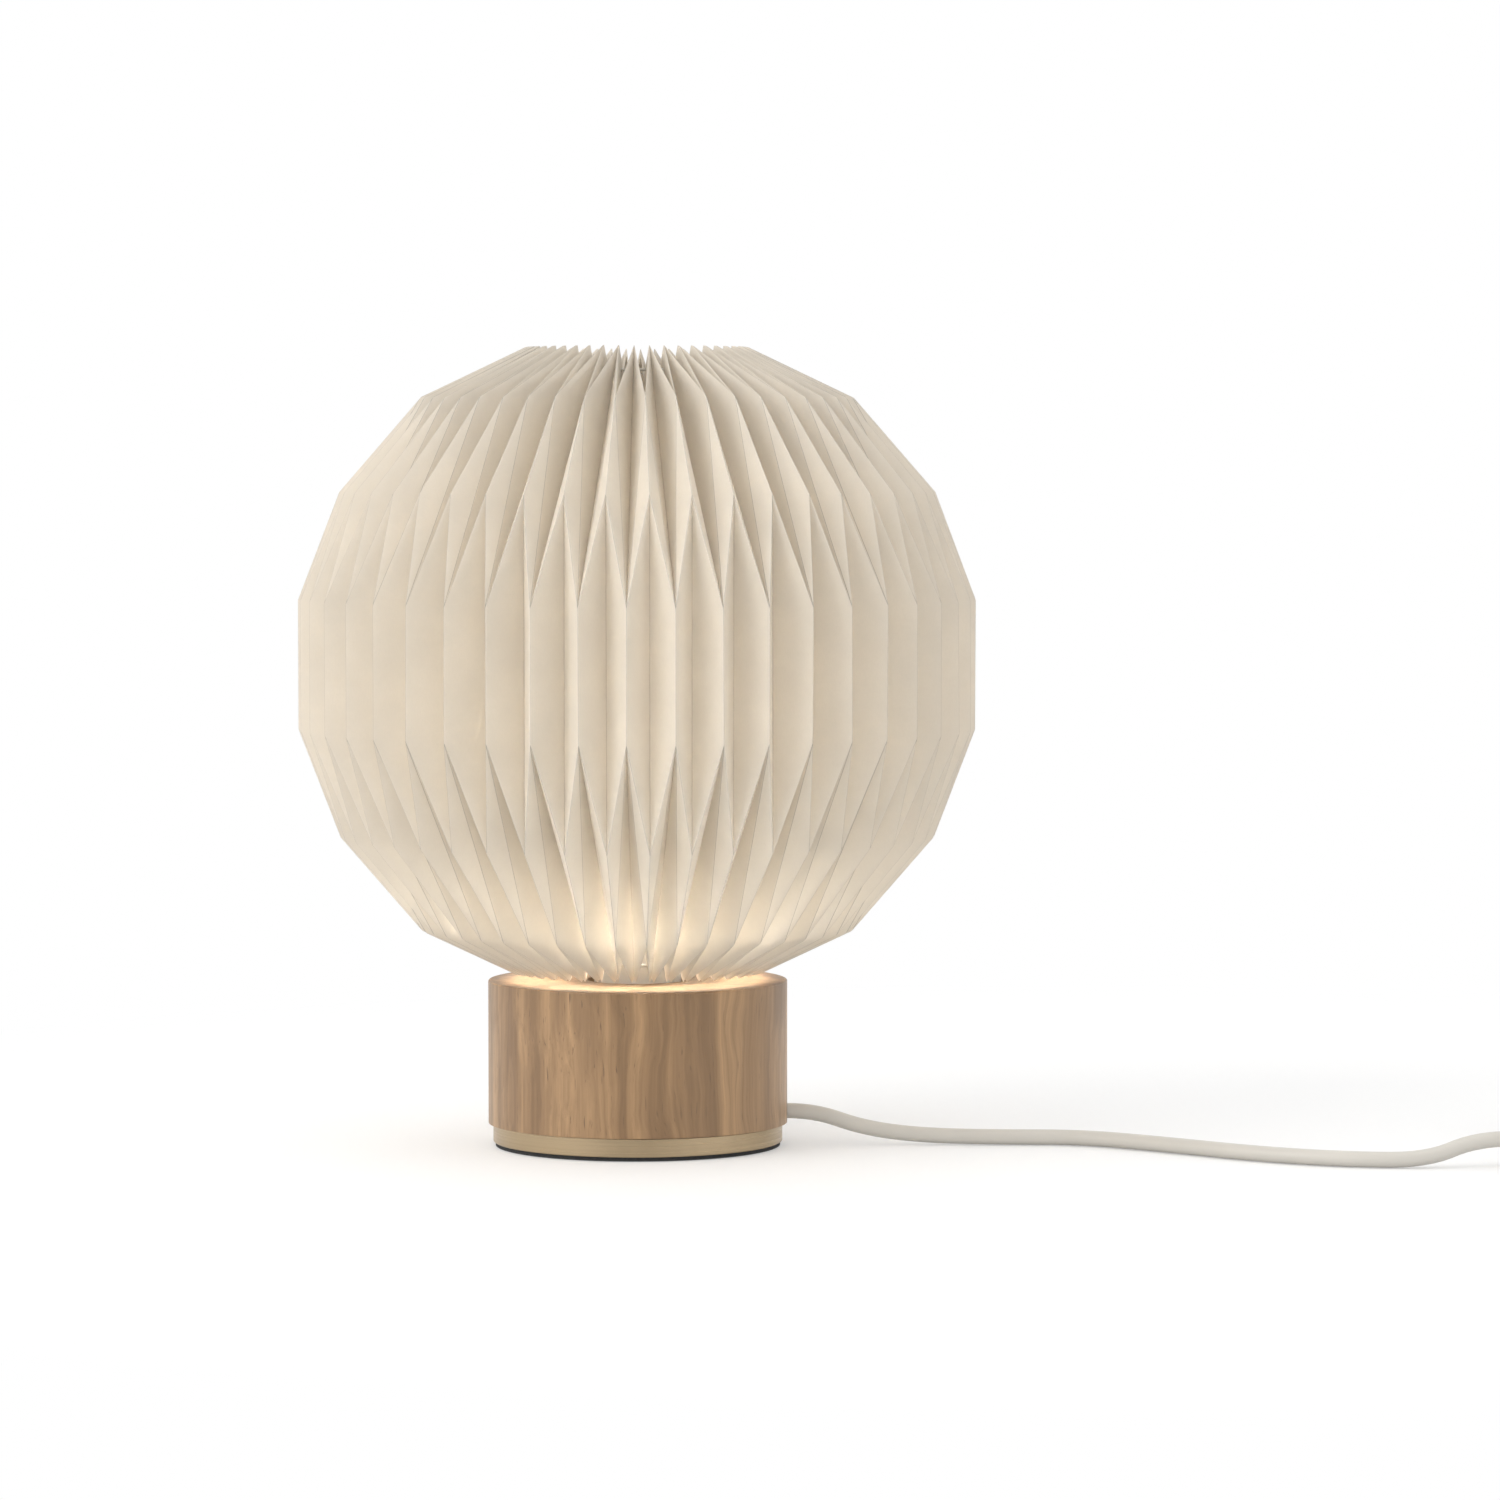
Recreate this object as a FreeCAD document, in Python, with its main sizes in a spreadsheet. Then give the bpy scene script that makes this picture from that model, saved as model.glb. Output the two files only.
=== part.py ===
import FreeCAD, Part
import math
import os
import Sketcher

# Pleated paper table lamp, in millimetres. +Z is up, the origin is the middle of the
# foot on the table, and the lead leaves the base towards +X. The viewer stands at -Y.

V = FreeCAD.Vector
doc = FreeCAD.newDocument("PleatedLamp")

SIZES = {
    # foot and oak base
    "pad_diameter": 88.6,
    "pad_thickness": 1.2,
    "plate_diameter": 90.0,
    "plate_thickness": 5.9,
    "plate_edge_radius": 0.4,
    "wood_diameter": 93.0,
    "wood_height": 44.4,
    "wood_edge_radius": 0.5,
    "cavity_diameter": 44.0,
    "cavity_depth": 21.0,
    "recess_diameter": 31.0,
    "recess_depth": 2.0,
    "fixed_clearance": 0.05,
    "moving_clearance": 0.3,
    "overcut": 3.0,
    # three countersunk screws from the plate into the oak
    "foot_screw_count": 3,
    "foot_screw_circle": 66.0,
    "foot_screw_diameter": 4.0,
    "foot_screw_length": 18.0,
    "foot_screw_head": 7.6,
    "foot_screw_head_depth": 2.2,
    "screw_point_diameter": 0.4,
    "screw_end_room": 0.5,
    # threaded tube with its nut and washer
    "tube_diameter": 10.0,
    "tube_bore": 8.0,
    "tube_below_roof": 7.0,
    "tube_above_seat": 9.0,
    "washer_diameter": 24.0,
    "washer_thickness": 1.5,
    "nut_flats": 14.0,
    "nut_thickness": 4.0,
    # lead and its clamp in the base
    "cord_diameter": 4.8,
    "cord_exit_height": 10.3,
    "notch_width": 5.4,
    "inner_cord_end": 16.0,
    "clamp_length": 20.0,
    "clamp_width": 8.0,
    "clamp_from_edge": 14.5,
    "clamp_screw_diameter": 3.0,
    "clamp_screw_spacing": 13.0,
    "clamp_screw_depth": 12.0,
    "conductor_diameter": 1.9,
    "conductor_spacing": 2.5,
    "conductor_bend": 8.0,
    "conductor_top_gap": 0.6,
    # lamp holder
    "cap_diameter": 27.0,
    "cap_height": 17.5,
    "cap_floor": 5.0,
    "cap_inner_diameter": 20.0,
    "block_diameter": 22.8,
    "block_height": 5.8,
    "block_seat_height": 11.5,
    "terminal_diameter": 3.4,
    "terminal_height": 1.6,
    "terminal_spacing": 16.0,
    "terminal_slot": 0.6,
    "sleeve_diameter": 28.0,
    "sleeve_height": 30.0,
    "sleeve_chamfer": 1.0,
    "sleeve_mouth_diameter": 19.0,
    "sleeve_mouth_depth": 3.5,
    "flange_diameter": 31.0,
    "flange_height": 2.0,
    "screw_shell_bore": 14.6,
    "screw_shell_wall": 0.4,
    "screw_shell_height": 24.0,
    "contact_diameter": 8.0,
    "contact_thickness": 0.6,
    "contact_height": 1.9,
    "collar_diameter": 44.0,
    "collar_thickness": 1.5,
    "shade_ring_diameter": 38.0,
    "shade_ring_height": 8.0,
    "shade_ring_lip": 2.0,
    "grip_count": 12,
    "grip_diameter": 4.0,
    "grip_offset": 0.6,
    # bulb
    "bulb_diameter": 45.0,
    "bulb_length": 78.0,
    "bulb_cap_diameter": 14.0,
    "bulb_cap_length": 21.8,
    "bulb_cap_wall": 0.35,
    "bulb_tip_diameter": 4.4,
    "bulb_tip_height": 1.2,
    "insulator_height": 3.0,
    "insulator_margin": 0.8,
    "glass_wall": 0.8,
    "glass_neck_length": 9.0,
    "glass_shoulder": 17.0,
    "stem_length": 18.0,
    "stem_diameter": 4.4,
    "stem_disc_height": 1.5,
    "stem_flare_height": 5.0,
    "stem_knob_height": 2.0,
    "stem_knob_cone": 1.0,
    "filament_count": 4,
    "filament_diameter": 1.6,
    "filament_length": 28.0,
    "filament_circle": 4.2,
    # folded paper shade
    "pleat_count": 46,
    "shade_above_wood": 2.35,
    "shade_turn": 2.19,
    "shade_equator_radius": 105.0,
    "pleat_face_width": 14.34,
    "zigzag_height": 33.3,
    "middle_ridge": 40.0,
    "outer_ridge": 38.5,
    "top_rim_margin": 1.5,
    "bottom_trim": 4.6,
    "paper_thickness": 0.35,
    "gather_cord_diameter": 1.0,
    "gather_cord_depth": 7.5,
    "gather_cord_inset": 4.5,
    # wire frame that the shade hangs on
    "frame_ring_wire": 2.6,
    "frame_bar_diameter": 2.4,
    "frame_ring_margin": 1.45,
    "frame_bar_count": 3,
    "frame_bend_radius": 7.0,
    # in-line switch
    "switch_place_x": 264.0,
    "switch_place_y": -62.0,
    "switch_length": 58.0,
    "switch_width": 22.0,
    "switch_half_height": 8.5,
    "switch_corner_radius": 5.0,
    "switch_edge_radius": 2.0,
    "switch_wall": 1.8,
    "switch_cavity_length": 34.0,
    "rocker_width": 9.0,
    "rocker_half_length": 7.2,
    "rocker_pivot_height": 13.5,
    "rocker_tilt": 7.0,
    "rocker_rise": 0.9,
    "rocker_dish": 0.1,
    "rocker_waist_inset": 0.8,
    "rocker_toe_inset": 3.2,
    "rocker_drop": 2.7,
    "pin_diameter": 2.0,
    "ear_thickness": 2.0,
    "ear_width": 6.0,
    "ear_below_pin": 0.5,
    "window_half_length": 8.1,
    "switch_screw_diameter": 2.5,
    "switch_screw_head": 4.6,
    "switch_screw_head_height": 1.8,
    "switch_screw_length": 11.0,
    "switch_screw_recess": 0.3,
    "switch_screw_offset_x": 22.0,
    "switch_screw_offset_y": 6.0,
    # put-away coil
    "coil_layers": 4,
    "coil_turns_per_layer": 2,
    "coil_inner_radius": 21.2,
    "coil_pitch": 5.4,
    "coil_lift": 1.0,
    "coil_from_switch_x": 2.5,
    "coil_from_switch_y": 76.0,
    "tie_width": 6.0,
    "tie_thickness": 0.8,
    # plug
    "plug_from_coil_x": -3.0,
    "plug_from_coil_y": 58.0,
    "plug_length": 30.0,
    "plug_width": 26.0,
    "plug_neck_width": 12.0,
    "plug_thickness": 14.0,
    "plug_taper_length": 8.5,
    "plug_edge_radius": 2.0,
    "plug_relief_length": 16.0,
    "plug_relief_wide": 9.0,
    "plug_relief_narrow": 6.6,
    "plug_pin_diameter": 4.0,
    "plug_pin_length": 19.0,
    "plug_pin_spacing": 18.6,
    "plug_pin_tip": 1.2,
}

sheet = doc.addObject("Spreadsheet::Sheet", "Sizes")
for row, (alias, number) in enumerate(SIZES.items(), start=1):
    sheet.set("A%d" % row, alias)
    sheet.set("B%d" % row, str(number))
    sheet.setAlias("B%d" % row, alias)
doc.recompute()


def size(alias):
    """A driving size, read from the sheet."""
    return float(getattr(sheet, alias))


def cell(alias):
    """The same size as the words of an expression."""
    return "Sizes." + alias


# Heights above the table, as expressions, each from the piece below it.
PLATE_BOTTOM = cell("pad_thickness")
WOOD_BOTTOM = "(%s + Sizes.plate_thickness)" % PLATE_BOTTOM
WOOD_TOP = "(%s + Sizes.wood_height)" % WOOD_BOTTOM
ROOF = "(%s + Sizes.cavity_depth)" % WOOD_BOTTOM
SEAT = "(%s - Sizes.recess_depth)" % WOOD_TOP
CAP_TOP = "(%s + Sizes.cap_height)" % SEAT
BLOCK_BOTTOM = "(%s + Sizes.block_seat_height)" % SEAT
BLOCK_TOP = "(%s + Sizes.block_height)" % BLOCK_BOTTOM
FLANGE_TOP = "(%s + Sizes.flange_height)" % CAP_TOP
COLLAR_TOP = "(%s + Sizes.collar_thickness)" % FLANGE_TOP
BULB_BOTTOM = "(%s + Sizes.contact_height + Sizes.moving_clearance)" % BLOCK_TOP
INSULATOR_BOTTOM = "(%s + Sizes.bulb_tip_height)" % BULB_BOTTOM
BULB_CAP_BOTTOM = "(%s + Sizes.insulator_height)" % INSULATOR_BOTTOM
BULB_CAP_TOP = "(%s + Sizes.bulb_cap_length)" % BULB_CAP_BOTTOM
GLASS_BOTTOM = "(%s - Sizes.glass_neck_length)" % BULB_CAP_TOP
BULB_CENTRE = "(%s + Sizes.bulb_length - Sizes.bulb_diameter / 2)" % BULB_BOTTOM
STEM_TOP = "(%s + Sizes.stem_length)" % GLASS_BOTTOM
CORD_AXIS = cell("cord_exit_height")
CLAMP_CENTRE = "(Sizes.wood_diameter / 2 - Sizes.clamp_from_edge)"


def measure(expression):
    """The value of an expression on the sheet."""
    return float(sheet.evalExpression(expression))


# ---------------------------------------------------------------- drawing helpers


def new_body(label):
    made = doc.addObject("PartDesign::Body", label)
    made.Label = label
    return made


def origin_plane(owner, role):
    return next(plane for plane in owner.Origin.OriginFeatures if plane.Role == role)


def new_sketch(owner, name, role="XY_Plane", height=None):
    """A sketch on one of the body's origin planes, lifted by an expression."""
    sketch = owner.newObject("Sketcher::SketchObject", name)
    sketch.AttachmentSupport = [(origin_plane(owner, role), "")]
    sketch.MapMode = "FlatFace"
    if height is not None:
        sketch.setExpression(".AttachmentOffset.Base.z", height)
    return sketch


def pin_point(sketch, geometry, position, across, up):
    """Holds a point of the sketch at two expressions from the sketch's origin."""
    for kind, expression in (("DistanceX", across), ("DistanceY", up)):
        constraint = Sketcher.Constraint(kind, -1, 1, geometry, position, measure(expression))
        index = sketch.addConstraint(constraint)
        sketch.setExpression("Constraints[%d]" % index, expression)


def draw_outline(sketch, corners):
    """A closed outline of straight sides; each corner is a pair of expressions."""
    places = [V(measure(across), measure(up), 0) for across, up in corners]
    first = sketch.GeometryCount
    count = len(places)
    for number in range(count):
        side = Part.LineSegment(places[number], places[(number + 1) % count])
        sketch.addGeometry(side, False)
    for number in range(count):
        following = first + (number + 1) % count
        sketch.addConstraint(Sketcher.Constraint("Coincident", first + number, 2, following, 1))
    for number, (across, up) in enumerate(corners):
        pin_point(sketch, first + number, 1, across, up)


def draw_rectangle(sketch, left, right, front, back):
    draw_outline(sketch, [(left, front), (right, front), (right, back), (left, back)])


def draw_circle(sketch, diameter, across="0", up="0"):
    centre = V(measure(across), measure(up), 0)
    radius = "(%s) / 2" % diameter
    index = sketch.addGeometry(Part.Circle(centre, V(0, 0, 1), measure(radius)), False)
    rule = sketch.addConstraint(Sketcher.Constraint("Radius", index, measure(radius)))
    sketch.setExpression("Constraints[%d]" % rule, radius)
    pin_point(sketch, index, 3, across, up)


def add_pad(owner, sketch, name, length):
    pad = owner.newObject("PartDesign::Pad", name)
    pad.Profile = sketch
    pad.setExpression("Length", length)
    owner.Tip = pad
    return pad


def add_pocket(owner, sketch, name, depth, upwards):
    """Cuts from the sketch's plane, upwards or downwards, and checks that it cut."""
    doc.recompute()
    before = owner.Shape.Volume
    pocket = owner.newObject("PartDesign::Pocket", name)
    pocket.Profile = sketch
    pocket.Reversed = upwards
    pocket.setExpression("Length", depth)
    owner.Tip = pocket
    doc.recompute()
    if owner.Shape.Volume >= before:
        raise RuntimeError("%s removes nothing from %s" % (name, owner.Label))
    return pocket


def add_pattern(owner, feature, name, count):
    """Repeats a feature round the body's vertical axis."""
    pattern = owner.newObject("PartDesign::PolarPattern", name)
    pattern.Originals = [feature]
    pattern.Axis = (origin_plane(owner, "Z_Axis"), [""])
    pattern.Angle = 360
    pattern.setExpression("Occurrences", count)
    owner.Tip = pattern
    return pattern


def edges_where(shape, test):
    return ["Edge%d" % number for number, edge in enumerate(shape.Edges, start=1) if test(edge)]


def add_fillet(owner, name, radius, test):
    doc.recompute()
    base = owner.Tip
    fillet = owner.newObject("PartDesign::Fillet", name)
    fillet.Base = (base, edges_where(base.Shape, test))
    fillet.setExpression("Radius", radius)
    owner.Tip = fillet
    return fillet


def turned(label, outline):
    """A turned piece: an outline of (radius, height) expressions, spun round Z."""
    made = new_body(label)
    sketch = new_sketch(made, label + "_outline", "XZ_Plane")
    draw_outline(sketch, outline)
    spin = made.newObject("PartDesign::Revolution", label + "_spin")
    spin.Profile = sketch
    spin.ReferenceAxis = (sketch, ["V_Axis"])
    spin.Angle = 360
    made.Tip = spin
    return made


def tube_outline(outer, inner, bottom, top):
    """Radius and height pairs of a plain ring, from its two diameters."""
    return [
        ("%s / 2" % inner, bottom),
        ("%s / 2" % outer, bottom),
        ("%s / 2" % outer, top),
        ("%s / 2" % inner, top),
    ]


def primitive(kind, label, placement=None, **sizes):
    """A Part primitive with each size bound to an expression."""
    made = doc.addObject("Part::" + kind, label)
    for name, expression in sizes.items():
        made.setExpression(name, expression)
    for axis, expression in (placement or {}).items():
        made.setExpression(".Placement.Base." + axis, expression)
    return made


def coded(label, shape):
    """A piece whose shape is worked out below from the sheet's sizes."""
    made = doc.addObject("Part::Feature", label)
    made.Shape = shape
    return made


def fused(label, pieces):
    made = doc.addObject("Part::MultiFuse", label)
    made.Shapes = pieces
    made.Refine = False
    return made


def cut(label, base, tool):
    made = doc.addObject("Part::Cut", label)
    made.Base = base
    made.Tool = tool
    return made


def around(shape, count, start=0.0):
    """Copies of a shape, evenly turned round Z."""
    copies = []
    for number in range(count):
        copy = shape.copy()
        copy.rotate(V(0, 0, 0), V(0, 0, 1), start + 360.0 * number / count)
        copies.append(copy)
    return copies


# ---------------------------------------------------------------- foot and oak base


def make_foot_pad():
    pad = new_body("foot_pad")
    sketch = new_sketch(pad, "foot_pad_outline")
    draw_circle(sketch, cell("pad_diameter"))
    add_pad(pad, sketch, "foot_pad_disc", cell("pad_thickness"))
    return pad


def foot_screw_place():
    """The first screw stands a half step away from the lead's notch."""
    turn = 180.0 / size("foot_screw_count")
    across = "Sizes.foot_screw_circle / 2 * %.9f" % math.cos(math.radians(turn))
    up = "Sizes.foot_screw_circle / 2 * %.9f" % math.sin(math.radians(turn))
    return across, up


def make_foot_plate():
    plate = new_body("foot_plate")
    sketch = new_sketch(plate, "foot_plate_outline", height=PLATE_BOTTOM)
    draw_circle(sketch, cell("plate_diameter"))
    add_pad(plate, sketch, "foot_plate_disc", cell("plate_thickness"))
    across, up = foot_screw_place()
    hole = new_sketch(plate, "foot_plate_hole", height=PLATE_BOTTOM)
    draw_circle(hole, "(Sizes.foot_screw_diameter + 2 * Sizes.fixed_clearance)", across, up)
    drill = add_pocket(plate, hole, "foot_plate_drill", cell("plate_thickness"), True)
    add_pattern(plate, drill, "foot_plate_drills", cell("foot_screw_count"))
    seat = new_sketch(plate, "foot_plate_sink", height=PLATE_BOTTOM)
    draw_circle(seat, "(Sizes.foot_screw_head + 2 * Sizes.fixed_clearance)", across, up)
    depth = "Sizes.foot_screw_head_depth + Sizes.fixed_clearance"
    sink = add_pocket(plate, seat, "foot_plate_counterbore", depth, True)
    add_pattern(plate, sink, "foot_plate_counterbores", cell("foot_screw_count"))
    rim = size("plate_diameter") / 2

    def outer_rim(edge):
        return abs(edge.BoundBox.XMax - rim) < 0.01 and edge.BoundBox.ZLength < 0.01

    add_fillet(plate, "foot_plate_rim", cell("plate_edge_radius"), outer_rim)
    return plate


def make_foot_screws():
    across, up = foot_screw_place()
    centre = V(measure(across), measure(up), measure(PLATE_BOTTOM))
    head = Part.makeCylinder(size("foot_screw_head") / 2, size("foot_screw_head_depth"), centre)
    shank_top = size("foot_screw_length") - size("foot_screw_diameter")
    shank = Part.makeCylinder(size("foot_screw_diameter") / 2, shank_top, centre)
    point = Part.makeCone(
        size("foot_screw_diameter") / 2,
        size("screw_point_diameter") / 2,
        size("foot_screw_diameter"),
        centre + V(0, 0, shank_top),
    )
    screw = head.fuse([shank, point]).removeSplitter()
    return coded("foot_screws", Part.makeCompound(around(screw, int(size("foot_screw_count")))))


def make_wood_base():
    clearance = "Sizes.fixed_clearance"
    bore = "(Sizes.tube_diameter / 2 + %s)" % clearance
    wood = turned(
        "wood_base",
        [
            ("Sizes.cavity_diameter / 2", WOOD_BOTTOM),
            ("Sizes.wood_diameter / 2", WOOD_BOTTOM),
            ("Sizes.wood_diameter / 2", WOOD_TOP),
            ("Sizes.recess_diameter / 2", WOOD_TOP),
            ("Sizes.recess_diameter / 2", SEAT),
            (bore, SEAT),
            (bore, ROOF),
            ("Sizes.cavity_diameter / 2", ROOF),
        ],
    )
    # the notch for the lead, round at its top and open to the plate below
    notch = new_sketch(wood, "wood_notch", "YZ_Plane", "Sizes.cavity_diameter / 2 - Sizes.overcut")
    half = "Sizes.notch_width / 2"
    draw_rectangle(notch, "-" + half, half, WOOD_BOTTOM + " - Sizes.overcut", CORD_AXIS)
    add_pocket(wood, notch, "wood_notch_cut", cell("wood_diameter"), True)
    crown = new_sketch(wood, "wood_notch_crown", "YZ_Plane", "Sizes.cavity_diameter / 2 - Sizes.overcut")
    draw_circle(crown, cell("notch_width"), "0", CORD_AXIS)
    add_pocket(wood, crown, "wood_notch_crown_cut", cell("wood_diameter"), True)
    # the shallow pocket that the clamp bar lies in, and its two screw holes
    bar = new_sketch(wood, "wood_clamp_pocket", height=WOOD_BOTTOM)
    room = "(Sizes.clamp_width / 2 + Sizes.fixed_clearance)"
    reach = "(Sizes.clamp_length / 2 + Sizes.fixed_clearance)"
    draw_rectangle(
        bar, CLAMP_CENTRE + " - " + room, CLAMP_CENTRE + " + " + room, "-" + reach, reach
    )
    depth = "Sizes.cord_exit_height - Sizes.cord_diameter / 2 - %s" % WOOD_BOTTOM
    add_pocket(wood, bar, "wood_clamp_pocket_cut", depth, True)
    pilots = new_sketch(wood, "wood_clamp_pilots", height=WOOD_BOTTOM)
    for sign in ("-", ""):
        place = "%sSizes.clamp_screw_spacing / 2" % sign
        width = "(Sizes.clamp_screw_diameter + 2 * Sizes.fixed_clearance)"
        draw_circle(pilots, width, CLAMP_CENTRE, place)
    deep = "Sizes.clamp_screw_depth + Sizes.screw_end_room"
    add_pocket(wood, pilots, "wood_clamp_pilots_cut", deep, True)
    across, up = foot_screw_place()
    pilot = new_sketch(wood, "wood_foot_pilot", height=WOOD_BOTTOM)
    draw_circle(pilot, "(Sizes.foot_screw_diameter + 2 * Sizes.fixed_clearance)", across, up)
    deep = "Sizes.foot_screw_length - Sizes.plate_thickness + Sizes.screw_end_room"
    drill = add_pocket(wood, pilot, "wood_foot_pilot_cut", deep, True)
    add_pattern(wood, drill, "wood_foot_pilots", cell("foot_screw_count"))
    top = measure(WOOD_TOP)

    def top_rims(edge):
        return abs(edge.BoundBox.ZMin - top) < 0.01 and abs(edge.BoundBox.ZMax - top) < 0.01

    add_fillet(wood, "wood_soft_edges", cell("wood_edge_radius"), top_rims)
    return wood


def make_clamp_bar():
    """A steel strip in its pocket, pressing the lead up against the crown of the notch."""
    thick = "(Sizes.cord_exit_height - Sizes.cord_diameter / 2 - %s)" % WOOD_BOTTOM
    bar = new_body("cord_clamp_bar")
    sketch = new_sketch(bar, "clamp_bar_outline", height=WOOD_BOTTOM)
    side = "Sizes.clamp_width / 2"
    end = "Sizes.clamp_length / 2"
    draw_rectangle(
        sketch, CLAMP_CENTRE + " - " + side, CLAMP_CENTRE + " + " + side, "-" + end, end
    )
    for sign in ("-", ""):
        width = "(Sizes.clamp_screw_diameter + 2 * Sizes.fixed_clearance)"
        draw_circle(sketch, width, CLAMP_CENTRE, "%sSizes.clamp_screw_spacing / 2" % sign)
    add_pad(bar, sketch, "clamp_bar_strip", thick)
    return bar


def make_clamp_screws():
    """Grub screws, flush with the bar, so that the plate closes over them."""
    screws = []
    for sign in (-1, 1):
        side = sign * size("clamp_screw_spacing") / 2
        foot = V(measure(CLAMP_CENTRE), side, measure(WOOD_BOTTOM))
        radius = size("clamp_screw_diameter") / 2
        body_length = size("clamp_screw_depth") - radius
        shank = Part.makeCylinder(radius, body_length, foot)
        point = size("screw_point_diameter") / 2
        tip = Part.makeCone(radius, point, radius, foot + V(0, 0, body_length))
        screws.append(shank.fuse(tip).removeSplitter())
    return coded("cord_clamp_screws", Part.makeCompound(screws))


def make_threaded_tube():
    bottom = "(%s - Sizes.tube_below_roof)" % ROOF
    top = "(%s + Sizes.tube_above_seat)" % SEAT
    return turned(
        "threaded_tube", tube_outline("Sizes.tube_diameter", "Sizes.tube_bore", bottom, top)
    )


def make_tube_washer():
    bore = "(Sizes.tube_diameter + 2 * Sizes.fixed_clearance)"
    bottom = "(%s - Sizes.washer_thickness)" % ROOF
    return turned("tube_washer", tube_outline("Sizes.washer_diameter", bore, bottom, ROOF))


def make_tube_nut():
    nut = new_body("tube_nut")
    bottom = "(%s - Sizes.washer_thickness - Sizes.nut_thickness)" % ROOF
    sketch = new_sketch(nut, "tube_nut_hexagon", height=bottom)
    corners = []
    for number in range(6):
        turn = math.radians(60 * number)
        radius = "Sizes.nut_flats / 2 / %.9f" % math.cos(math.radians(30))
        corners.append(
            ("%s * %.9f" % (radius, math.cos(turn)), "%s * %.9f" % (radius, math.sin(turn)))
        )
    draw_outline(sketch, corners)
    draw_circle(sketch, "(Sizes.tube_diameter + 2 * Sizes.fixed_clearance)")
    add_pad(nut, sketch, "tube_nut_block", cell("nut_thickness"))
    return nut


# ---------------------------------------------------------------- lamp holder


def make_holder_cap():
    bore = "(Sizes.tube_diameter / 2 + Sizes.fixed_clearance)"
    inner = "Sizes.cap_inner_diameter / 2"
    shelf = "(Sizes.block_diameter / 2 + Sizes.fixed_clearance)"
    floor_top = "(%s + Sizes.cap_floor)" % SEAT
    return turned(
        "holder_cap",
        [
            (bore, SEAT),
            ("Sizes.cap_diameter / 2", SEAT),
            ("Sizes.cap_diameter / 2", CAP_TOP),
            (shelf, CAP_TOP),
            (shelf, BLOCK_BOTTOM),
            (inner, BLOCK_BOTTOM),
            (inner, floor_top),
            (bore, floor_top),
        ],
    )


def make_contact_block():
    """A ceramic disc on the cap's shelf, with two holes for the conductors."""
    block = new_body("contact_block")
    sketch = new_sketch(block, "contact_block_outline", height=BLOCK_BOTTOM)
    draw_circle(sketch, cell("block_diameter"))
    for sign in ("-", ""):
        place = "%sSizes.conductor_spacing / 2" % sign
        width = "(Sizes.conductor_diameter + 2 * Sizes.fixed_clearance)"
        draw_circle(sketch, width, "0", place)
    add_pad(block, sketch, "contact_block_disc", cell("block_height"))
    return block


def make_terminal_screws():
    """Two screw heads under the block, one at each conductor's terminal."""
    screws = []
    top = measure(BLOCK_BOTTOM)
    for sign in (-1, 1):
        foot = V(0, sign * size("terminal_spacing") / 2, top - size("terminal_height"))
        head = Part.makeCylinder(size("terminal_diameter") / 2, size("terminal_height"), foot)
        deep = size("terminal_slot")
        slot = Part.makeBox(deep, 2 * size("terminal_diameter"), 2 * deep)
        slot.translate(foot + V(-deep / 2, -size("terminal_diameter"), -deep))
        screws.append(head.cut(slot))
    return coded("terminal_screws", Part.makeCompound(screws))


def make_holder_sleeve():
    """The sleeve round the screw shell, opened wider at its mouth for the bulb's shoulder."""
    bore = "(Sizes.screw_shell_bore / 2 + Sizes.screw_shell_wall + Sizes.fixed_clearance)"
    mouth = "Sizes.sleeve_mouth_diameter / 2"
    top = "(%s + Sizes.sleeve_height)" % CAP_TOP
    return turned(
        "holder_sleeve",
        [
            (bore, CAP_TOP),
            ("Sizes.flange_diameter / 2", CAP_TOP),
            ("Sizes.flange_diameter / 2", FLANGE_TOP),
            ("Sizes.sleeve_diameter / 2", FLANGE_TOP),
            ("Sizes.sleeve_diameter / 2", "(%s - Sizes.sleeve_chamfer)" % top),
            ("(Sizes.sleeve_diameter / 2 - Sizes.sleeve_chamfer)", top),
            (mouth, top),
            (mouth, "(%s - Sizes.sleeve_mouth_depth)" % top),
            (bore, "(%s - Sizes.sleeve_mouth_depth)" % top),
        ],
    )


def make_screw_shell():
    outer = "(Sizes.screw_shell_bore + 2 * Sizes.screw_shell_wall)"
    top = "(%s + Sizes.screw_shell_height)" % BLOCK_TOP
    return turned("screw_shell", tube_outline(outer, "Sizes.screw_shell_bore", BLOCK_TOP, top))


def make_centre_contact():
    flat_top = "(%s + Sizes.contact_thickness)" % BLOCK_TOP
    crown = "(%s + Sizes.contact_height)" % BLOCK_TOP
    hole = "(Sizes.conductor_spacing / 2 + Sizes.conductor_diameter / 2 + Sizes.fixed_clearance)"
    return turned(
        "centre_contact",
        [
            ("0", flat_top),
            (hole, flat_top),
            (hole, BLOCK_TOP),
            ("(Sizes.contact_diameter / 2)", BLOCK_TOP),
            ("(Sizes.contact_diameter / 2)", flat_top),
            ("(Sizes.contact_diameter / 4)", crown),
            ("0", crown),
        ],
    )


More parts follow.
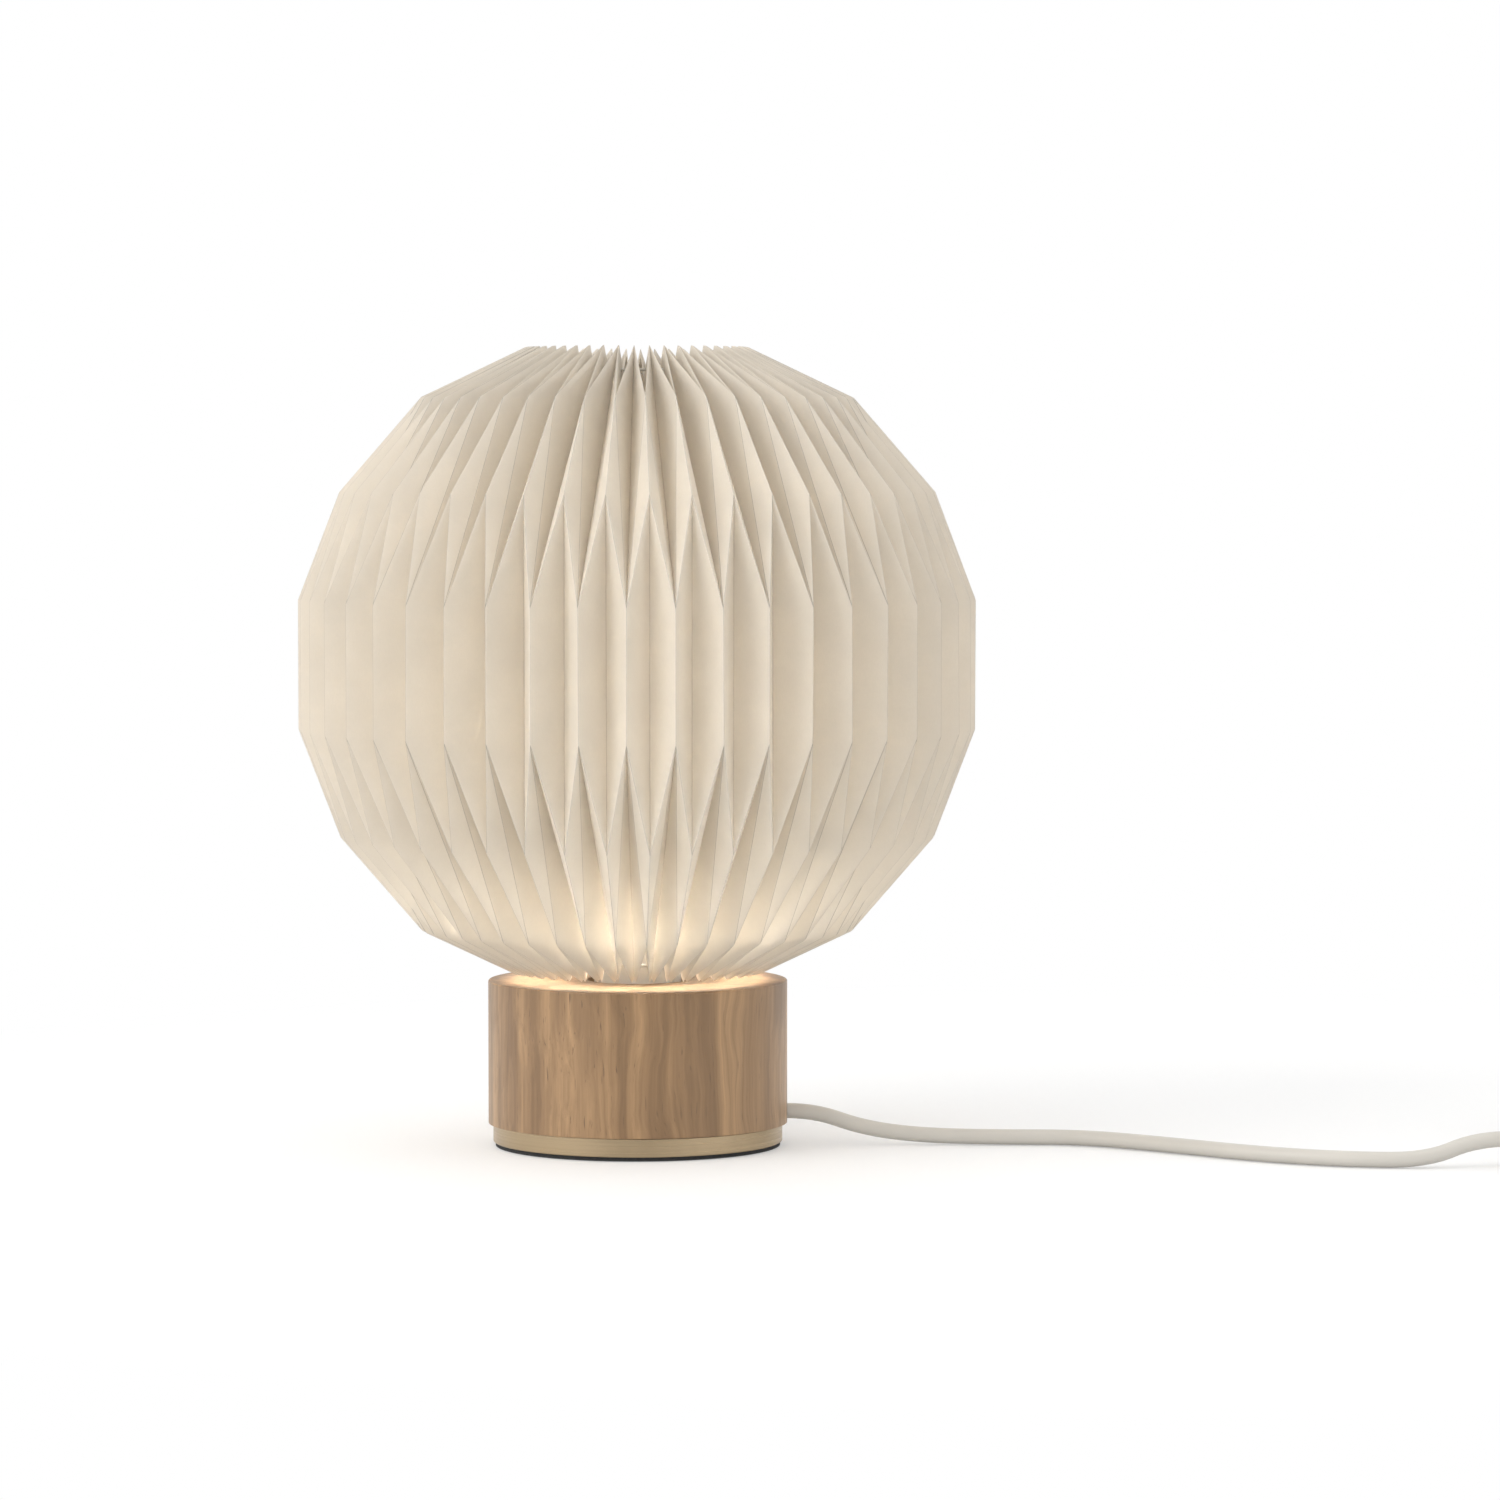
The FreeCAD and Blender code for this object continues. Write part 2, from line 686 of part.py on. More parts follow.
def make_shade_ring():
    """The threaded ring that clamps the wire frame's collar to the holder."""
    ring = new_body("shade_ring")
    sketch = new_sketch(ring, "shade_ring_outline", height=COLLAR_TOP)
    draw_circle(sketch, cell("shade_ring_diameter"))
    draw_circle(sketch, "(Sizes.sleeve_diameter + 2 * Sizes.fixed_clearance)")
    add_pad(ring, sketch, "shade_ring_band", cell("shade_ring_height"))
    grip_bottom = "(%s + Sizes.shade_ring_lip)" % COLLAR_TOP
    grip = new_sketch(ring, "shade_ring_grip", height=grip_bottom)
    draw_circle(grip, cell("grip_diameter"), "Sizes.shade_ring_diameter / 2 + Sizes.grip_offset", "0")
    dent = add_pocket(ring, grip, "shade_ring_dent", cell("shade_ring_height"), True)
    add_pattern(ring, dent, "shade_ring_dents", cell("grip_count"))
    return ring


# ---------------------------------------------------------------- bulb


def make_bulb_tip():
    return turned(
        "bulb_tip",
        [
            ("0", BULB_BOTTOM),
            ("Sizes.bulb_tip_diameter / 4", BULB_BOTTOM),
            ("Sizes.bulb_tip_diameter / 2", INSULATOR_BOTTOM),
            ("0", INSULATOR_BOTTOM),
        ],
    )


def make_bulb_insulator():
    inner = "(Sizes.bulb_cap_diameter / 2 - Sizes.bulb_cap_wall)"
    return turned(
        "bulb_insulator",
        [
            ("0", INSULATOR_BOTTOM),
            ("(Sizes.bulb_tip_diameter / 2 + Sizes.insulator_margin)", INSULATOR_BOTTOM),
            (inner, BULB_CAP_BOTTOM),
            ("0", BULB_CAP_BOTTOM),
        ],
    )


def make_bulb_cap():
    inner = "(Sizes.bulb_cap_diameter - 2 * Sizes.bulb_cap_wall)"
    return turned(
        "bulb_cap", tube_outline("Sizes.bulb_cap_diameter", inner, BULB_CAP_BOTTOM, BULB_CAP_TOP)
    )


def glass_solid(label, inset):
    """The envelope's ball, shoulder and neck, drawn in by an inset."""
    neck = "(Sizes.bulb_cap_diameter / 2 - Sizes.bulb_cap_wall - Sizes.fixed_clearance - %s)" % inset
    drop = "(%s - %s - Sizes.glass_shoulder)" % (BULB_CENTRE, BULB_CAP_TOP)
    ball = primitive(
        "Sphere", label + "_ball", {"z": BULB_CENTRE}, Radius="Sizes.bulb_diameter / 2 - %s" % inset
    )
    shoulder = primitive(
        "Cone",
        label + "_shoulder",
        {"z": BULB_CAP_TOP},
        Radius1=neck,
        Radius2="sqrt((Sizes.bulb_diameter / 2) ^ 2 - %s ^ 2) - %s" % (drop, inset),
        Height=cell("glass_shoulder"),
    )
    end = "(%s - %s)" % (GLASS_BOTTOM, inset)
    stub = primitive(
        "Cylinder", label + "_neck", {"z": end}, Radius=neck, Height="%s - %s" % (BULB_CAP_TOP, end)
    )
    return fused(label, [ball, shoulder, stub])


def make_bulb_glass():
    outside = glass_solid("glass_outside", "0")
    return cut("bulb_glass", outside, glass_solid("glass_inside", cell("glass_wall")))


def make_bulb_stem():
    """The glass foot of the bulb, closing its neck, with a knob for the filaments."""
    glass = "(Sizes.bulb_cap_diameter / 2 - Sizes.bulb_cap_wall - Sizes.fixed_clearance)"
    neck = "(%s - Sizes.glass_wall - Sizes.fixed_clearance)" % glass
    rod = "Sizes.stem_diameter / 2"
    knob = "(Sizes.stem_diameter / 2 + Sizes.filament_diameter / 2)"
    return turned(
        "bulb_stem",
        [
            ("0", GLASS_BOTTOM),
            (neck, GLASS_BOTTOM),
            (neck, "(%s + Sizes.stem_disc_height)" % GLASS_BOTTOM),
            (rod, "(%s + Sizes.stem_flare_height)" % GLASS_BOTTOM),
            (rod, "(%s - Sizes.stem_knob_height - Sizes.stem_knob_cone)" % STEM_TOP),
            (knob, "(%s - Sizes.stem_knob_height)" % STEM_TOP),
            (knob, STEM_TOP),
            ("0", STEM_TOP),
        ],
    )


def make_bulb_filaments():
    place = V(size("filament_circle") / 2, 0, measure(STEM_TOP))
    rod = Part.makeCylinder(size("filament_diameter") / 2, size("filament_length"), place)
    count = int(size("filament_count"))
    return coded("bulb_filaments", Part.makeCompound(around(rod, count, 180.0 / count)))


# ---------------------------------------------------------------- folded paper shade


class Fold:
    """A corner of the folded sheet: its radius and height in one upright plane."""

    def __init__(self, radius, height):
        self.radius = radius
        self.height = height

    def apart(self, other):
        return math.hypot(self.radius - other.radius, self.height - other.height)


def reach(corner, length, turn):
    """Where points of the plane a turn away lie at a given length: a circle's centre and radius."""
    across = corner.radius * math.sin(turn)
    centre = Fold(corner.radius * math.cos(turn), corner.height)
    return centre, math.sqrt(length ** 2 - across ** 2)


def fold_corner(first, first_length, first_turn, second, second_length, second_turn, side):
    """The corner that lies at two lengths of paper from two corners already folded."""
    one, near = reach(first, first_length, first_turn)
    two, far = reach(second, second_length, second_turn)
    gap = one.apart(two)
    along = (near ** 2 - far ** 2 + gap ** 2) / (2 * gap)
    off = side * math.sqrt(near ** 2 - along ** 2)
    right = (two.radius - one.radius) / gap
    up = (two.height - one.height) / gap
    return Fold(one.radius + along * right - off * up, one.height + along * up + off * right)


def between(first, second, share):
    return Fold(
        first.radius + (second.radius - first.radius) * share,
        first.height + (second.height - first.height) * share,
    )


HALF_PLEAT = math.pi / size("pleat_count")
FACE = size("pleat_face_width")
ZIGZAG = size("zigzag_height")
MIDDLE = size("middle_ridge") / 2
OUTER = size("outer_ridge")
MARGIN = size("top_rim_margin")


def fold_upper_half():
    """Corners of a ridge line and of the valley line beside it, from the equator up.

    The sheet is creased in straight lines one face apart. Two zigzag creases cross them,
    and each turns ridges into valleys, so the wall bends inwards where they pass.
    """
    equator = size("shade_equator_radius")
    ridge_end = Fold(equator, MIDDLE)
    half_angle = math.sqrt(FACE ** 2 - (equator * math.sin(HALF_PLEAT)) ** 2)
    valley_end = Fold(equator * math.cos(HALF_PLEAT) - half_angle, MIDDLE + ZIGZAG)
    slope = math.hypot(FACE, ZIGZAG)
    shoulder = fold_corner(
        valley_end, OUTER, 0.0, ridge_end, math.hypot(FACE, OUTER + ZIGZAG), HALF_PLEAT, -1
    )
    tip = fold_corner(ridge_end, OUTER + 2 * ZIGZAG, 0.0, shoulder, slope, HALF_PLEAT, 1)
    inner = fold_corner(
        shoulder, ZIGZAG + MARGIN, 0.0, tip, math.hypot(FACE, MARGIN), HALF_PLEAT, 1
    )
    rim = fold_corner(tip, MARGIN, 0.0, inner, FACE, HALF_PLEAT, -1)
    return ridge_end, valley_end, shoulder, tip, inner, rim


RIDGE_END, VALLEY_END, SHOULDER, TIP, INNER, RIM = fold_upper_half()


def trimmed_bottom():
    """The lower edge is cut before the zigzag reaches its tips: three corners of that edge."""
    kept = 1.0 - size("bottom_trim") / ZIGZAG
    ridge_foot = between(RIDGE_END, TIP, (OUTER + ZIGZAG + kept * ZIGZAG) / (OUTER + 2 * ZIGZAG))
    shoulder_place = V(SHOULDER.radius, 0, SHOULDER.height)
    tip_place = V(TIP.radius * math.cos(HALF_PLEAT), TIP.radius * math.sin(HALF_PLEAT), TIP.height)
    notch_place = shoulder_place + (tip_place - shoulder_place) * kept
    notch = Fold(math.hypot(notch_place.x, notch_place.y), notch_place.z)
    notch_turn = math.atan2(notch_place.y, notch_place.x)
    foot = fold_corner(SHOULDER, kept * ZIGZAG, 0.0, notch, kept * FACE, notch_turn, 1)
    return ridge_foot, notch, notch_turn, foot


RIDGE_FOOT, NOTCH, NOTCH_TURN, FOOT = trimmed_bottom()


def inset_line(corners, widths):
    """The inner side of one crease: each corner moved in square to the line.

    Where the folds close up, a wall of even thickness reaches deeper behind the crease,
    so each corner has its own depth, from the spacing of the creases there.
    """
    moved = []
    last = len(corners) - 1
    for number, corner in enumerate(corners):
        before = corners[max(number - 1, 0)]
        after = corners[min(number + 1, last)]
        normals = []
        for start, end in ((before, corner), (corner, after)):
            length = start.apart(end)
            if length > 0:
                normals.append(
                    V((end.height - start.height) / length, 0, -(end.radius - start.radius) / length)
                )
        total = normals[0] if len(normals) == 1 else normals[0] + normals[1]
        total.normalize()
        depth = widths[number] / total.dot(normals[0])
        moved.append(Fold(corner.radius - depth * total.x, corner.height - depth * total.z))
    return moved


def wall_depth(corner):
    """How deep behind a crease the paper's inner side lies, at the corner's radius."""
    half_spacing = corner.radius * math.sin(HALF_PLEAT)
    return size("paper_thickness") * FACE / half_spacing


def mirrored(corner):
    return Fold(corner.radius, -corner.height)


def shade_lines():
    """Outer and inner corners of the two crease lines, from the bottom edge to the top rim."""
    ridge = [mirrored(RIDGE_FOOT), mirrored(RIDGE_END), RIDGE_END, TIP, RIM]
    valley = [
        mirrored(FOOT), mirrored(SHOULDER), mirrored(VALLEY_END), VALLEY_END, SHOULDER, INNER,
    ]
    ridge_in = inset_line(ridge, [wall_depth(corner) for corner in ridge])
    valley_in = inset_line(valley, [wall_depth(corner) for corner in valley])
    return ridge, valley, ridge_in, valley_in


RIDGE_LINE, VALLEY_LINE, RIDGE_INNER, VALLEY_INNER = shade_lines()

# The lowest corners of the lower edge are its notches, just above the oak.
SHADE_CENTRE = measure(WOOD_TOP) + size("shade_above_wood") + NOTCH.height
SHADE_TURN = math.radians(size("shade_turn"))


def shade_point(corner, turn):
    angle = turn + SHADE_TURN
    across = corner.radius * math.cos(angle)
    return V(across, corner.radius * math.sin(angle), SHADE_CENTRE + corner.height)


def flat_faces(points):
    """One face where the corners lie in a plane, else a fan of triangles from the first."""
    normal = (points[1] - points[0]).cross(points[2] - points[0])
    normal.normalize()
    if all(abs(normal.dot(point - points[0])) < 1e-7 for point in points[3:]):
        return [Part.Face(Part.makePolygon(points + [points[0]]))]
    fan = []
    for number in range(1, len(points) - 1):
        corners = [points[0], points[number], points[number + 1]]
        fan.append(Part.Face(Part.makePolygon(corners + [corners[0]])))
    return fan


def half_pleat_faces(ridge_turn, valley_turn):
    """All faces between one ridge line and the valley line beside it, inside and out."""
    way = 1 if valley_turn > ridge_turn else -1
    faces = []
    notch_turn = valley_turn - way * NOTCH_TURN
    notch_out = mirrored(NOTCH)
    notch_in = Fold(
        RIDGE_INNER[0].radius + NOTCH.radius - RIDGE_FOOT.radius,
        RIDGE_INNER[0].height + RIDGE_FOOT.height - NOTCH.height,
    )
    for ridge, valley, notch in (
        (RIDGE_LINE, VALLEY_LINE, notch_out),
        (RIDGE_INNER, VALLEY_INNER, notch_in),
    ):
        edge, low_end, high_end, tip, rim = [shade_point(corner, ridge_turn) for corner in ridge]
        foot, low_shoulder, low_valley, high_valley, high_shoulder, inner = [
            shade_point(corner, valley_turn) for corner in valley
        ]
        nick = shade_point(notch, notch_turn)
        faces += flat_faces([low_shoulder, nick, foot])
        faces += flat_faces([low_shoulder, low_valley, low_end, edge, nick])
        faces += flat_faces([low_end, low_valley, high_valley, high_end])
        faces += flat_faces([high_shoulder, tip, high_end, high_valley])
        faces += flat_faces([high_shoulder, inner, rim, tip])
    # the cut edges of the paper, at the bottom and at the top rim
    bottom_out = [RIDGE_LINE[0], notch_out, VALLEY_LINE[0]]
    bottom_in = [RIDGE_INNER[0], notch_in, VALLEY_INNER[0]]
    turns = [ridge_turn, notch_turn, valley_turn]
    for number in range(2):
        corners = [
            shade_point(bottom_out[number], turns[number]),
            shade_point(bottom_out[number + 1], turns[number + 1]),
            shade_point(bottom_in[number + 1], turns[number + 1]),
            shade_point(bottom_in[number], turns[number]),
        ]
        faces += flat_faces(corners)
    faces += flat_faces(
        [
            shade_point(RIDGE_LINE[-1], ridge_turn),
            shade_point(VALLEY_LINE[-1], valley_turn),
            shade_point(VALLEY_INNER[-1], valley_turn),
            shade_point(RIDGE_INNER[-1], ridge_turn),
        ]
    )
    return faces


def make_pleated_shade():
    """One sheet of paper, cross-pleated, closed on itself round the axis."""
    faces = []
    for number in range(int(size("pleat_count"))):
        ridge_turn = 2 * HALF_PLEAT * number
        faces += half_pleat_faces(ridge_turn, ridge_turn + HALF_PLEAT)
        faces += half_pleat_faces(ridge_turn, ridge_turn - HALF_PLEAT)
    shell = Part.makeShell(faces)
    shell.sewShape()
    solid = Part.makeSolid(Part.Shell(shell.Faces))
    if solid.Volume < 0:
        solid.reverse()
    return coded("pleated_shade", solid)


def make_gather_cord(label, sign):
    """The cord threaded through the pleats at a neck, which keeps them gathered."""
    height = TIP.height - size("gather_cord_depth")
    radius = TIP.radius + size("gather_cord_inset")
    ring = doc.addObject("Part::Torus", label)
    ring.Radius1 = radius
    ring.setExpression("Radius2", "Sizes.gather_cord_diameter / 2")
    ring.Placement.Base = V(0, 0, SHADE_CENTRE + sign * height)
    return ring


# ---------------------------------------------------------------- wire frame

FRAME_RING_RADIUS = INNER.radius + size("frame_ring_margin")


def frame_ring_height():
    """The ring's centre: the neck's inner folds rest on it, less the clearance."""
    start, end = VALLEY_INNER[-2:]
    share = (FRAME_RING_RADIUS - start.radius) / (end.radius - start.radius)
    fold = between(start, end, share).height + SHADE_CENTRE
    return fold - size("moving_clearance") - size("frame_ring_wire") / 2


def wire_round(path_edges, start, direction, diameter):
    """A round bar along a path of lines and tangent arcs."""
    profile = Part.Wire(Part.Circle(start, direction, diameter / 2).toShape())
    return Part.Wire(path_edges).makePipeShell([profile], True, False)


def make_shade_carrier():
    """A collar, a ring and three bent bars, welded; the bars are thinner than the ring's wire."""
    wire = size("frame_bar_diameter")
    ring_radius = FRAME_RING_RADIUS
    bend = size("frame_bend_radius")
    low = measure(FLANGE_TOP) + size("collar_thickness") / 2
    high = frame_ring_height()
    start = V(size("collar_diameter") / 2 - wire / 2, 0, low)
    corner_in = V(ring_radius - bend, 0, low)
    corner_out = V(ring_radius, 0, low + bend)
    share = bend * (1 - math.sqrt(0.5))
    middle = V(ring_radius - share, 0, low + share)
    path = [
        Part.LineSegment(start, corner_in).toShape(),
        Part.Arc(corner_in, middle, corner_out).toShape(),
        Part.LineSegment(corner_out, V(ring_radius, 0, high)).toShape(),
    ]
    bar = wire_round(path, start, V(1, 0, 0), wire)
    copies = around(bar, int(size("frame_bar_count")), 90.0)
    bars = [coded("carrier_bar_%d" % number, copy) for number, copy in enumerate(copies, start=1)]
    collar_disc = primitive(
        "Cylinder",
        "carrier_collar_disc",
        {"z": FLANGE_TOP},
        Radius="Sizes.collar_diameter / 2",
        Height=cell("collar_thickness"),
    )
    collar_bore = primitive(
        "Cylinder",
        "carrier_collar_bore",
        {"z": FLANGE_TOP + " - Sizes.overcut"},
        Radius="Sizes.sleeve_diameter / 2 + Sizes.fixed_clearance",
        Height="Sizes.collar_thickness + 2 * Sizes.overcut",
    )
    collar = cut("carrier_collar", collar_disc, collar_bore)
    ring = primitive("Torus", "carrier_ring", Radius2="Sizes.frame_ring_wire / 2")
    ring.Radius1 = ring_radius
    ring.Placement.Base = V(0, 0, high)
    return fused("shade_carrier", [collar, ring] + bars)


# ---------------------------------------------------------------- lead inside the base


def make_inner_cord():
    """The sheathed lead from the notch's mouth to its stripped end in the cavity."""
    start = V(size("inner_cord_end"), 0, size("cord_exit_height"))
    length = size("wood_diameter") / 2 - size("inner_cord_end")
    return coded(
        "inner_cord", Part.makeCylinder(size("cord_diameter") / 2, length, start, V(1, 0, 0))
    )


def make_inner_conductors():
    """Two wires from the stripped end, up the threaded tube and into the contact block."""
    bend = size("conductor_bend")
    low = size("cord_exit_height")
    high = measure(BLOCK_TOP) - size("conductor_top_gap")
    share = bend * (1 - math.sqrt(0.5))
    wires = []
    for sign in (-1, 1):
        side = sign * size("conductor_spacing") / 2
        start = V(size("inner_cord_end"), side, low)
        path = [
            Part.LineSegment(start, V(bend, side, low)).toShape(),
            Part.Arc(
                V(bend, side, low), V(share, side, low + share), V(0, side, low + bend)
            ).toShape(),
            Part.LineSegment(V(0, side, low + bend), V(0, side, high)).toShape(),
        ]
        wires.append(wire_round(path, start, V(1, 0, 0), size("conductor_diameter")))
    return coded("inner_conductors", Part.makeCompound(wires))


# ---------------------------------------------------------------- lead on the table

CORD = size("cord_diameter")
ON_TABLE = CORD / 2
SWITCH_NEAR = V(size("switch_place_x"), size("switch_place_y"), size("switch_half_height"))
SWITCH_FAR = SWITCH_NEAR + V(size("switch_length"), 0, 0)
SWITCH_CENTRE = V(SWITCH_NEAR.x + size("switch_length") / 2, SWITCH_NEAR.y, 0)
COIL_CENTRE = V(
    SWITCH_FAR.x + size("coil_from_switch_x"), SWITCH_FAR.y + size("coil_from_switch_y"), 0
)
COIL_LOW = ON_TABLE + size("coil_lift")
COIL_OUTER = size("coil_inner_radius") + size("coil_pitch") * size("coil_turns_per_layer")
COIL_HIGH = COIL_LOW + size("coil_pitch") * (size("coil_layers") - 1)
COIL_START = COIL_CENTRE + V(COIL_OUTER, -CORD, COIL_LOW)
COIL_END = COIL_CENTRE + V(COIL_OUTER, CORD, COIL_HIGH)
PLUG_AXIS = size("plug_thickness") / 2
ARC_SHARE = 0.45
STATIONS_PER_TURN = 4
SAMPLES_PER_TURN = 48
PLUG_START = V(
    COIL_END.x + size("plug_from_coil_x"), COIL_END.y + size("plug_from_coil_y"), PLUG_AXIS
)

LEAD_ROUTE = [
    V(size("wood_diameter") / 2, 0, size("cord_exit_height")),
    V(55.0, 0.0, size("cord_exit_height")),
    V(70.0, -0.8, 5.0),
    V(88.0, -2.0, 2.7),
    V(112.0, -4.5, ON_TABLE),
    V(138.0, -5.0, ON_TABLE),
    V(162.0, -24.0, ON_TABLE),
    V(190.0, -50.0, ON_TABLE),
    V(216.0, -63.0, ON_TABLE),
    V(238.0, -64.0, ON_TABLE),
    V(253.0, -62.0, size("switch_half_height")),
    SWITCH_NEAR,
]
LINK_ROUTE = [
    SWITCH_FAR,
    SWITCH_FAR + V(14.5, 0, 0),
    SWITCH_FAR + V(27.0, 7.3, -1.6),
    SWITCH_FAR + V(34.4, 20.0, -3.6),
    SWITCH_FAR + V(35.4, 38.0, -4.9),
    V(COIL_START.x, COIL_START.y - 15.0, COIL_LOW),
    COIL_START,
]
END_ROUTE = [
    COIL_END,
    COIL_END + V(0, 11.0, 0),
    COIL_END + V(1.0, 29.0, -6.3),
    V(PLUG_START.x, PLUG_START.y - 12.0, PLUG_AXIS),
    PLUG_START,
]


def cord_tube(label, route):
    """A tube of straight runs joined by tangent arcs; it prints its radii and volume."""
    edges = []
    radii = []
    length = 0.0
    here = route[0]
    for before, corner, after in zip(route, route[1:], route[2:]):
        back = (before - corner).normalize()
        ahead = (after - corner).normalize()
        half_turn = (math.pi - back.getAngle(ahead)) / 2
        shorter = min((before - corner).Length, (after - corner).Length)
        trim = ARC_SHARE * shorter
        radius = trim / math.tan(half_turn)
        bisector = (back + ahead).normalize()
        arc_middle = corner + bisector * (radius / math.cos(half_turn) - radius)
        arc_start = corner + back * trim
        arc_end = corner + ahead * trim
        edges.append(Part.LineSegment(here, arc_start).toShape())
        edges.append(Part.Arc(arc_start, arc_middle, arc_end).toShape())
        length += (arc_start - here).Length + 2 * half_turn * radius
        radii.append(radius)
        here = arc_end
    edges.append(Part.LineSegment(here, route[-1]).toShape())
    length += (route[-1] - here).Length
    tube = wire_round(edges, route[0], route[1] - route[0], CORD)
    section = math.pi * CORD ** 2 / 4
    print(label, "radii", [round(radius, 1) for radius in radii], "length", round(length, 1))
    print(label, "volume over section times length", round(tube.Volume / (section * length), 4))
    return coded(label, tube)


def coil_place(turns):
    """Centre line of the coil after a number of turns, and its direction there."""
    per_layer = size("coil_turns_per_layer")
    layers = int(size("coil_layers"))
    pitch = size("coil_pitch")
    layer = min(int(turns / per_layer), layers - 1)
    share = turns - layer * per_layer
    inwards = layer % 2 == 0
    radius = COIL_OUTER - pitch * share if inwards else size("coil_inner_radius") + pitch * share
    drift = (-pitch if inwards else pitch) / (2 * math.pi)
    height = COIL_LOW
    climb = 0.0
    for change in range(1, layers):
        passed = turns - change * per_layer + 0.25
        if passed >= 0.5:
            height += pitch
        elif passed > 0:
            height += pitch * (1 - math.cos(2 * math.pi * passed)) / 2
            climb = pitch * math.sin(2 * math.pi * passed) / 2
    nearest = round(turns / per_layer) * per_layer
    if abs(turns - nearest) < 1e-9:
        drift = 0.0
    angle = 2 * math.pi * turns
    outward = V(math.cos(angle), math.sin(angle), 0)
    along = V(-math.sin(angle), math.cos(angle), 0)
    place = COIL_CENTRE + outward * radius + V(0, 0, height)
    heading = along * radius + outward * drift + V(0, 0, climb)
    return place, heading.normalize()


def biarc(start, start_way, end, end_way):
    """Two tangent arcs from one place and direction to another."""
    chord = end - start
    ways = start_way + end_way
    square = 2 * (1 - start_way.dot(end_way))
    linear = chord.dot(ways)
    reach_length = (-linear + math.sqrt(linear ** 2 + square * chord.dot(chord))) / square
    first = start + start_way * reach_length
    second = end - end_way * reach_length
    joint = (first + second) * 0.5
    joint_way = (second - first).normalize()
    arcs = []
    for low, low_way, high in ((start, start_way, joint), (joint, joint_way, end)):
        step = high - low
        swing = low_way.getAngle(step)
        inward = (step - low_way * step.dot(low_way)).normalize()
        bulge = step.Length / 2 * math.tan(swing / 2)
        direction = (inward * step.Length * math.cos(swing) - low_way * step.Length * math.sin(swing))
        middle = low + step * 0.5 - direction.normalize() * bulge
        arcs.append(Part.Arc(low, middle, high).toShape())
    return arcs


def make_cord_coil():
    """The put-away length, spiralling in and out in layers, as one unbroken tube."""
    total = size("coil_turns_per_layer") * size("coil_layers")
    steps = int(round(total * STATIONS_PER_TURN))
    stations = [coil_place(total * number / steps) for number in range(steps + 1)]
    edges = [Part.LineSegment(COIL_START, stations[0][0]).toShape()]
    for (low, low_way), (high, high_way) in zip(stations, stations[1:]):
        edges += biarc(low, low_way, high, high_way)
    edges.append(Part.LineSegment(stations[-1][0], COIL_END).toShape())
    line = Part.Wire(edges)
    tube = wire_round(edges, COIL_START, V(0, 1, 0), CORD)
    samples = line.discretize(int(total * SAMPLES_PER_TURN))
    skip = SAMPLES_PER_TURN // 2
    nearest = min(
        (one - other).Length
        for number, one in enumerate(samples)
        for other in samples[number + skip:]
    )
    section = math.pi * CORD ** 2 / 4
    print("cord_coil length", round(line.Length, 1), "least gap to itself", round(nearest - CORD, 2))
    print("cord_coil volume over section times length", round(tube.Volume / (section * line.Length), 4))
    return coded("cord_coil", tube)


def make_coil_tie():
    """A flat band round the bundle of turns, on the side away from the cord's ends."""
    half_pitch = size("coil_pitch") / 2
    gap = size("moving_clearance")
    inner = size("coil_inner_radius") + half_pitch - CORD / 2 - gap
    outer = COIL_OUTER - half_pitch + CORD / 2 + gap
    low = size("tie_thickness")
    high = COIL_HIGH + CORD / 2 + gap
    thick = size("tie_thickness")
    width = size("tie_width")
    outside = Part.makeBox(outer - inner + 2 * thick, width, high - low + 2 * thick)
    outside.translate(V(-outer - thick, -width / 2, low - thick))
    outside = outside.makeFillet(2 * thick, [edge for edge in outside.Edges if edge.BoundBox.YLength > 1])
    past = size("overcut")
    inside = Part.makeBox(outer - inner, width + 2 * past, high - low)
    inside.translate(V(-outer, -width / 2 - past, low))
    inside = inside.makeFillet(thick, [edge for edge in inside.Edges if edge.BoundBox.YLength > 1])
    band = outside.cut(inside)
    band.translate(COIL_CENTRE)
    return coded("coil_tie", band)


# ---------------------------------------------------------------- in-line switch


def rounded_block(owner, name, height, length, width, corner, thick):
    """A block with rounded upright edges, centred on the sketch's origin."""
    sketch = new_sketch(owner, name + "_outline", height=height)
    draw_rectangle(sketch, "-%s / 2" % length, "%s / 2" % length, "-%s / 2" % width, "%s / 2" % width)
    add_pad(owner, sketch, name + "_block", thick)

    def upright(edge):
        return edge.BoundBox.ZLength > 1 and edge.BoundBox.XLength < 0.01

    add_fillet(owner, name + "_corners", corner, upright)


